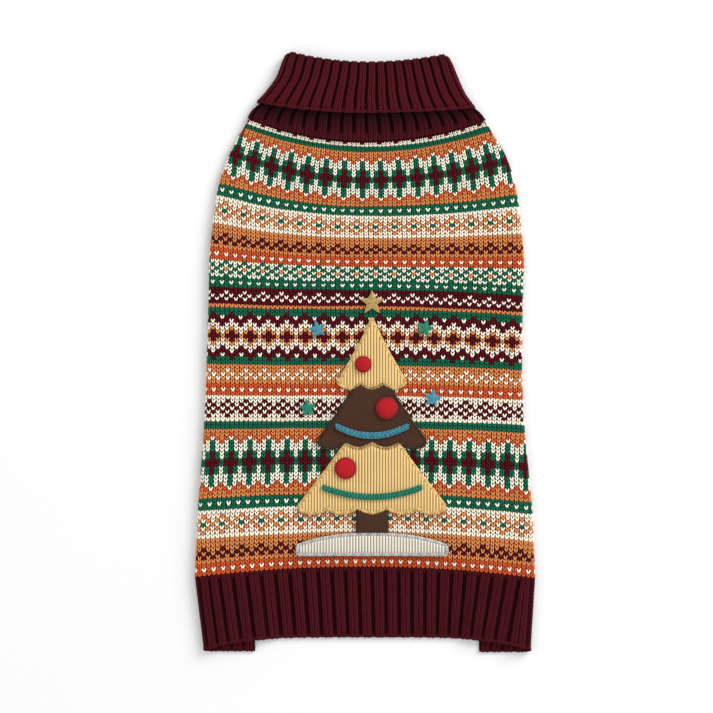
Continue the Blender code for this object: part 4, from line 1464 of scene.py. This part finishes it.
def make_pile(name, low, high, half_width, thick, finish):
    """Plush: short tufts that lean at random, mostly down the garment."""
    rng = np.random.default_rng(7)
    x = np.arange(-half_width + TUFT_SIDES[0], half_width - TUFT_SIDES[1], TUFT_SPACING) + TREE_X
    centres = []
    for place in x:
        bottom, top = float(low(np.array(place))) + TUFT_CLEAR, float(high(np.array(place))) - TUFT_CLEAR
        centres += [(place, y) for y in np.arange(bottom, top, TUFT_SPACING)]
    count = len(centres)
    centres = np.array(centres) + rng.uniform(-TUFT_WANDER, TUFT_WANDER, (count, 2))
    z = panel_top(centres[:, 0], centres[:, 1]) + SEAM_GAP + thick - TUFT_SINK
    lean = rng.normal(0.0, TUFT_SPREAD, (count, 2)) + TUFT_LEAN
    along = unit(np.column_stack([lean, np.ones(count)]))
    up = unit(np.cross(np.column_stack([rng.normal(size=(count, 2)), np.zeros(count)]), along))
    shade = rng.uniform(*TUFT_TONES, (count, 1))
    sewn = Sewn(np.column_stack([centres, z]), up, along, np.tile(TUFT_SIZE, (count, 1)),
                THREADS["brown"] * shade)
    return sew(name, sewn, THREAD_SHAPE, finish, unevenness=0.1, seed=81)


def add_patch(node, slot, low, high, half_width, thick, finishes, edge=None, gap=0.0):
    """A patch with satin stitches round it in the edge's colour, and tufts where it is plush."""
    plush = slot == "brown_plush"
    patch, rim, size = make_patch(f"{node}_cloth", low, high, half_width, thick, finishes[slot],
                                  not plush, gap)
    stand_for(node)
    if edge:
        satin_edge(f"{node}_edge", rim, THREADS[edge], finishes["satin"])
    if plush:
        make_pile(f"{node}_pile", low, high, half_width, thick, finishes["pile"])


def make_tree(finishes, garlands):
    looks = (("tan_corduroy", "tan", TIER_THICK), ("brown_plush", "brown", PLUSH_THICK),
             ("tan_corduroy", "tan", TIER_THICK))
    for number, (tier, (slot, edge, thick)) in enumerate(zip(TIERS, looks)):
        add_patch(tier.name, slot, partial(tier_low, tier), partial(tier_high, number),
                  tier.half_width * TIER_REACH, thick, finishes, edge)
    add_patch("tree_trunk", "brown_plush", mound_top, partial(tier_low, TIERS[-1]), TRUNK_HALF,
              TRUNK_THICK, finishes, gap=SEAM_GAP)
    add_patch("snow_mound", "cream_corduroy", lambda x: np.full(np.shape(x), MOUND_BOTTOM), mound_top,
              MOUND_HALF, MOUND_THICK, finishes, "silver")


def make_garlands(finishes):
    """Both garlands, by the tier that each is sewn to."""
    sewn_to = {}
    tiers = ("tree_middle_tier", "tree_bottom_tier")
    shares = np.linspace(0.5, -0.5, SWAG_ROWS)
    crown = SWAG_THICK * lerp(*SWAG_CROWN, 1 - (2 * shares[:, None]) ** 2)
    for swag, colour, tier in zip(SWAGS, ("blue", "green"), tiers):
        x = np.linspace(TREE_X - swag.half_width, TREE_X + swag.half_width, SWAG_POINTS)
        across = (x - TREE_X) / swag.half_width
        middle = swag.end_y - swag.sag * (1 - across * across)
        past = np.maximum(np.abs(across) - (1.0 - SWAG_END), 0.0) / SWAG_END
        wide_here = SWAG_WIDTH * lerp(SWAG_TIP, 1.0, np.sqrt(1.0 - np.minimum(past, 1.0) ** 2))
        y = middle + shares[:, None] * wide_here
        wide = np.broadcast_to(x, y.shape)
        base = tier_top(wide, y) + SEAM_GAP
        outer = np.stack([wide, y, base + crown - SWAG_SINK], axis=-1)
        inner = np.stack([wide, y, base], axis=-1)
        cloth = make_wall(f"{swag.name}_cloth", outer, inner, finishes["backing"],
                          THREADS[colour] * GROUND_SHADE_TONE)
        stand_for(swag.name)
        parts = []
        for row in SWAG_CHAINS:
            found, direction = along_path(outer[row], SWAG_STEP)
            size = np.tile(SWAG_STITCH, (len(found), 1))
            glint = 1.0 + 0.35 * np.sin(np.arange(len(found)) * 2.4 + row)[:, None]
            parts.append(Sewn(found, upright(len(found)), direction, size, THREADS[colour] * glint))
        chain = sew(f"{swag.name}_chain", join(parts), STITCH, finishes["metal_thread"],
                    unevenness=0.14, seed=91)
        sewn_to[tier] = [cloth, chain]
    return sewn_to


def make_dome(name, plan, spokes, heights, base, finish, colour=None):
    """A low dome on the plan of its rings, from the rim inwards, and its peak. Also gives its rim."""
    top = np.column_stack([plan, base + heights])
    points = np.vstack([top, np.column_stack([plan[:spokes], base[:spokes]])])
    peak, lower = len(plan) - 1, len(plan)
    last = peak - spokes
    faces = []
    for spoke in range(spokes):
        beside = (spoke + 1) % spokes
        faces += [(ring + spoke, ring + beside, ring + spokes + beside, ring + spokes + spoke)
                  for ring in range(0, last, spokes)]
        faces.append((last + spoke, last + beside, peak))
        faces.append((lower + spoke, lower + beside, beside, spoke))
    faces.append(tuple(lower + spoke for spoke in reversed(range(spokes))))
    return make_piece(name, points, faces, finish, colour), top[:spokes]


def make_baubles(finishes):
    angle = 2 * math.pi * np.arange(BAUBLE_SPOKES) / BAUBLE_SPOKES
    spoke_ends = np.column_stack([np.cos(angle), np.sin(angle)])
    shares = 1.0 - np.arange(BAUBLE_RINGS) / BAUBLE_RINGS
    for bauble in BAUBLES:
        centre = np.array((bauble.x, bauble.y))
        plan = [centre + bauble.radius * share * spoke_ends for share in shares]
        plan = np.vstack([*plan, centre])
        reach = np.append(np.repeat(shares, BAUBLE_SPOKES), 0.0)
        dome = BAUBLE_RIM + (BAUBLE_THICK - BAUBLE_RIM) * np.sqrt(np.maximum(1 - reach ** 2, 0.0))
        base = tier_top(plan[:, 0], plan[:, 1]) + SEAM_GAP
        piece, rim = make_dome(f"{bauble.name}_felt", plan, BAUBLE_SPOKES, dome, base, finishes["felt"])
        stand_for(bauble.name)
        satin_edge(f"{bauble.name}_edge", rim, THREADS["red"], finishes["satin"], BAUBLE_EDGE)


def star_point(star, turn, reach):
    angle = math.radians(90 + star.turn) + turn
    return star.x + reach * math.cos(angle), star.y + reach * math.sin(angle)


def make_stars(finishes):
    corners = 2 * STAR_POINTS
    half_ray = math.pi / STAR_POINTS
    for star in STARS:
        colour = next(word for word in ("gold", "blue", "green") if word in star.name)
        waist = STAR_WAIST * star.radius
        outline = np.array([star_point(star, half_ray * number, waist if number % 2 else star.radius)
                            for number in range(corners)])
        centre = np.array((star.x, star.y))
        plan = np.vstack([outline, lerp(centre, outline, STAR_RING), centre])
        heights = np.repeat(STAR_HEIGHTS, (corners, corners, 1)) * STAR_CLOTH
        base = panel_top(plan[:, 0], plan[:, 1]) + SEAM_GAP
        piece, _ = make_dome(f"{star.name}_patch", plan, corners, heights, base, finishes["backing"],
                             THREADS[colour] * PATCH_SHADE_TONE)
        stand_for(star.name)
        parts = []
        near, full = waist * math.cos(half_ray), 2 * waist * math.sin(half_ray)
        reach = np.arange(0.4, star.radius - 0.2, THREAD)
        wide = np.where(reach < near, full * reach / near,
                        full * (star.radius - reach) / (star.radius - near))
        count = len(reach)
        size = np.column_stack([np.full(count, THREAD * 1.3), wide + 0.5,
                                np.full(count, STAR_THREADS)])
        shade = 1.0 + 0.12 * (-1.0) ** np.arange(count)[:, None]
        for ray in range(STAR_POINTS):
            pointing = np.array(star_point(star, 2 * half_ray * ray, 1.0)) - centre
            spots = centre + pointing * reach[:, None]
            z = panel_top(spots[:, 0], spots[:, 1]) + SEAM_GAP
            z = z + STAR_CLOTH * lerp(1.0, STAR_HEIGHTS[0], reach / star.radius)
            across = np.tile((-pointing[1], pointing[0], 0.0), (count, 1))
            parts.append(Sewn(np.column_stack([spots, z]), upright(count), across, size,
                              THREADS[colour] * shade))
        threads = sew(f"{star.name}_threads", join(parts), THREAD_SHAPE, finishes["metal_thread"],
                      unevenness=0.05, seed=95)
        wide, high = 2 * math.sin(2 * half_ray), 1 + math.cos(half_ray)
        area = STAR_POINTS * STAR_WAIST * math.sin(half_ray) * (star.radius * MM) ** 2
        wide * star.radius * MM
        high * star.radius * MM


# Studio

CAMERA_X, CAMERA_Y = -6.8, -2.8  # the photograph's middle
CAMERA_HEIGHT = 1500.0   # over the cloth's face
VIEW_WIDTH = 570.4       # at the height of the cloth's face
FACE_HEIGHT = 5.0
SENSOR = 36.0
FLOOR_HALF = 3.0         # in metres
FLOOR_TONE = (0.70, 0.70, 0.70)
TENT_LIGHT = 1.09        # even light from all round, as in a light tent
KEY_PLACE = (2.2, 2.0, 1.5)  # and its size, in metres
KEY_SIZE = 1.6
KEY_POWER = 105.0


def make_camera():
    camera = bpy.data.cameras.new("camera")
    camera.sensor_width = SENSOR
    camera.lens = SENSOR * CAMERA_HEIGHT / VIEW_WIDTH
    camera.clip_end = 20.0
    holder = bpy.data.objects.new("camera", camera)
    holder.location = (CAMERA_X * MM, CAMERA_Y * MM, (CAMERA_HEIGHT + FACE_HEIGHT) * MM)
    bpy.context.scene.collection.objects.link(holder)
    bpy.context.scene.camera = holder


def add_light(name, place, size, power):
    light = bpy.data.lights.new(name, "AREA")
    light.size = size
    light.energy = power
    holder = bpy.data.objects.new(name, light)
    holder.location = place
    look = -np.array(place)
    holder.rotation_euler = (math.atan2(math.hypot(look[0], look[1]), -look[2]), 0.0,
                             math.atan2(look[1], look[0]) - math.pi / 2)
    bpy.context.scene.collection.objects.link(holder)


def make_studio():
    finish = Finish("paper", Roughness=0.9, Specular_IOR_Level=0.2)
    grain = finish.noise(9.0, 1.0)
    finish.drive("Base Color", finish.shade(finish.flat(FLOOR_TONE), grain * 0.01 + 0.99))
    mesh = bpy.data.meshes.new("floor")
    corners = [(x * FLOOR_HALF, y * FLOOR_HALF, 0.0) for x, y in ((-1, -1), (1, -1), (1, 1), (-1, 1))]
    mesh.from_pydata(corners, [], [(0, 1, 2, 3)])
    mesh.materials.append(finish.material)
    floor = bpy.data.objects.new("floor", mesh)
    bpy.context.scene.collection.objects.link(floor)
    world = bpy.data.worlds.new("studio")
    world.use_nodes = True
    background = world.node_tree.nodes["Background"]
    background.inputs["Color"].default_value = (1.0, 1.0, 1.0, 1.0)
    background.inputs["Strength"].default_value = TENT_LIGHT
    bpy.context.scene.world = world
    add_light("key", KEY_PLACE, KEY_SIZE, KEY_POWER)
    bpy.context.scene.view_settings.view_transform = "Standard"


def main():
    make_camera()
    make_studio()
    yarn = yarn_finish("yarn")
    cloth = cloth_finish("knit_ground")
    finishes = {
        "tan_corduroy": corduroy_finish("tan_corduroy", (0.74, 0.50, 0.20)),
        "cream_corduroy": corduroy_finish("cream_corduroy", (0.70, 0.64, 0.54)),
        "brown_plush": fibre_finish("plush", THREADS["brown"]),
        "pile": yarn_finish("pile", 0.2),
        "felt": fibre_finish("felt", THREADS["red"], 0.1, 1600.0),
        "satin": satin_finish("satin_stitch"),
        "metal_thread": satin_finish("metal_thread", 0.45),
        "backing": cloth_finish("backing"),
    }
    bands = []
    for name, x_at in zip(("leg_band_left", "leg_band_right"), LEG_CENTRES):
        bands += make_leg_band(name, x_at, cloth, yarn)
    make_belly(cloth, yarn)
    make_belly_band(cloth, yarn)
    make_back(cloth, yarn)
    make_hem(cloth, yarn)
    make_collar(cloth, yarn)
    make_tree(finishes, make_garlands(finishes))
    make_baubles(finishes)
    make_stars(finishes)


main()
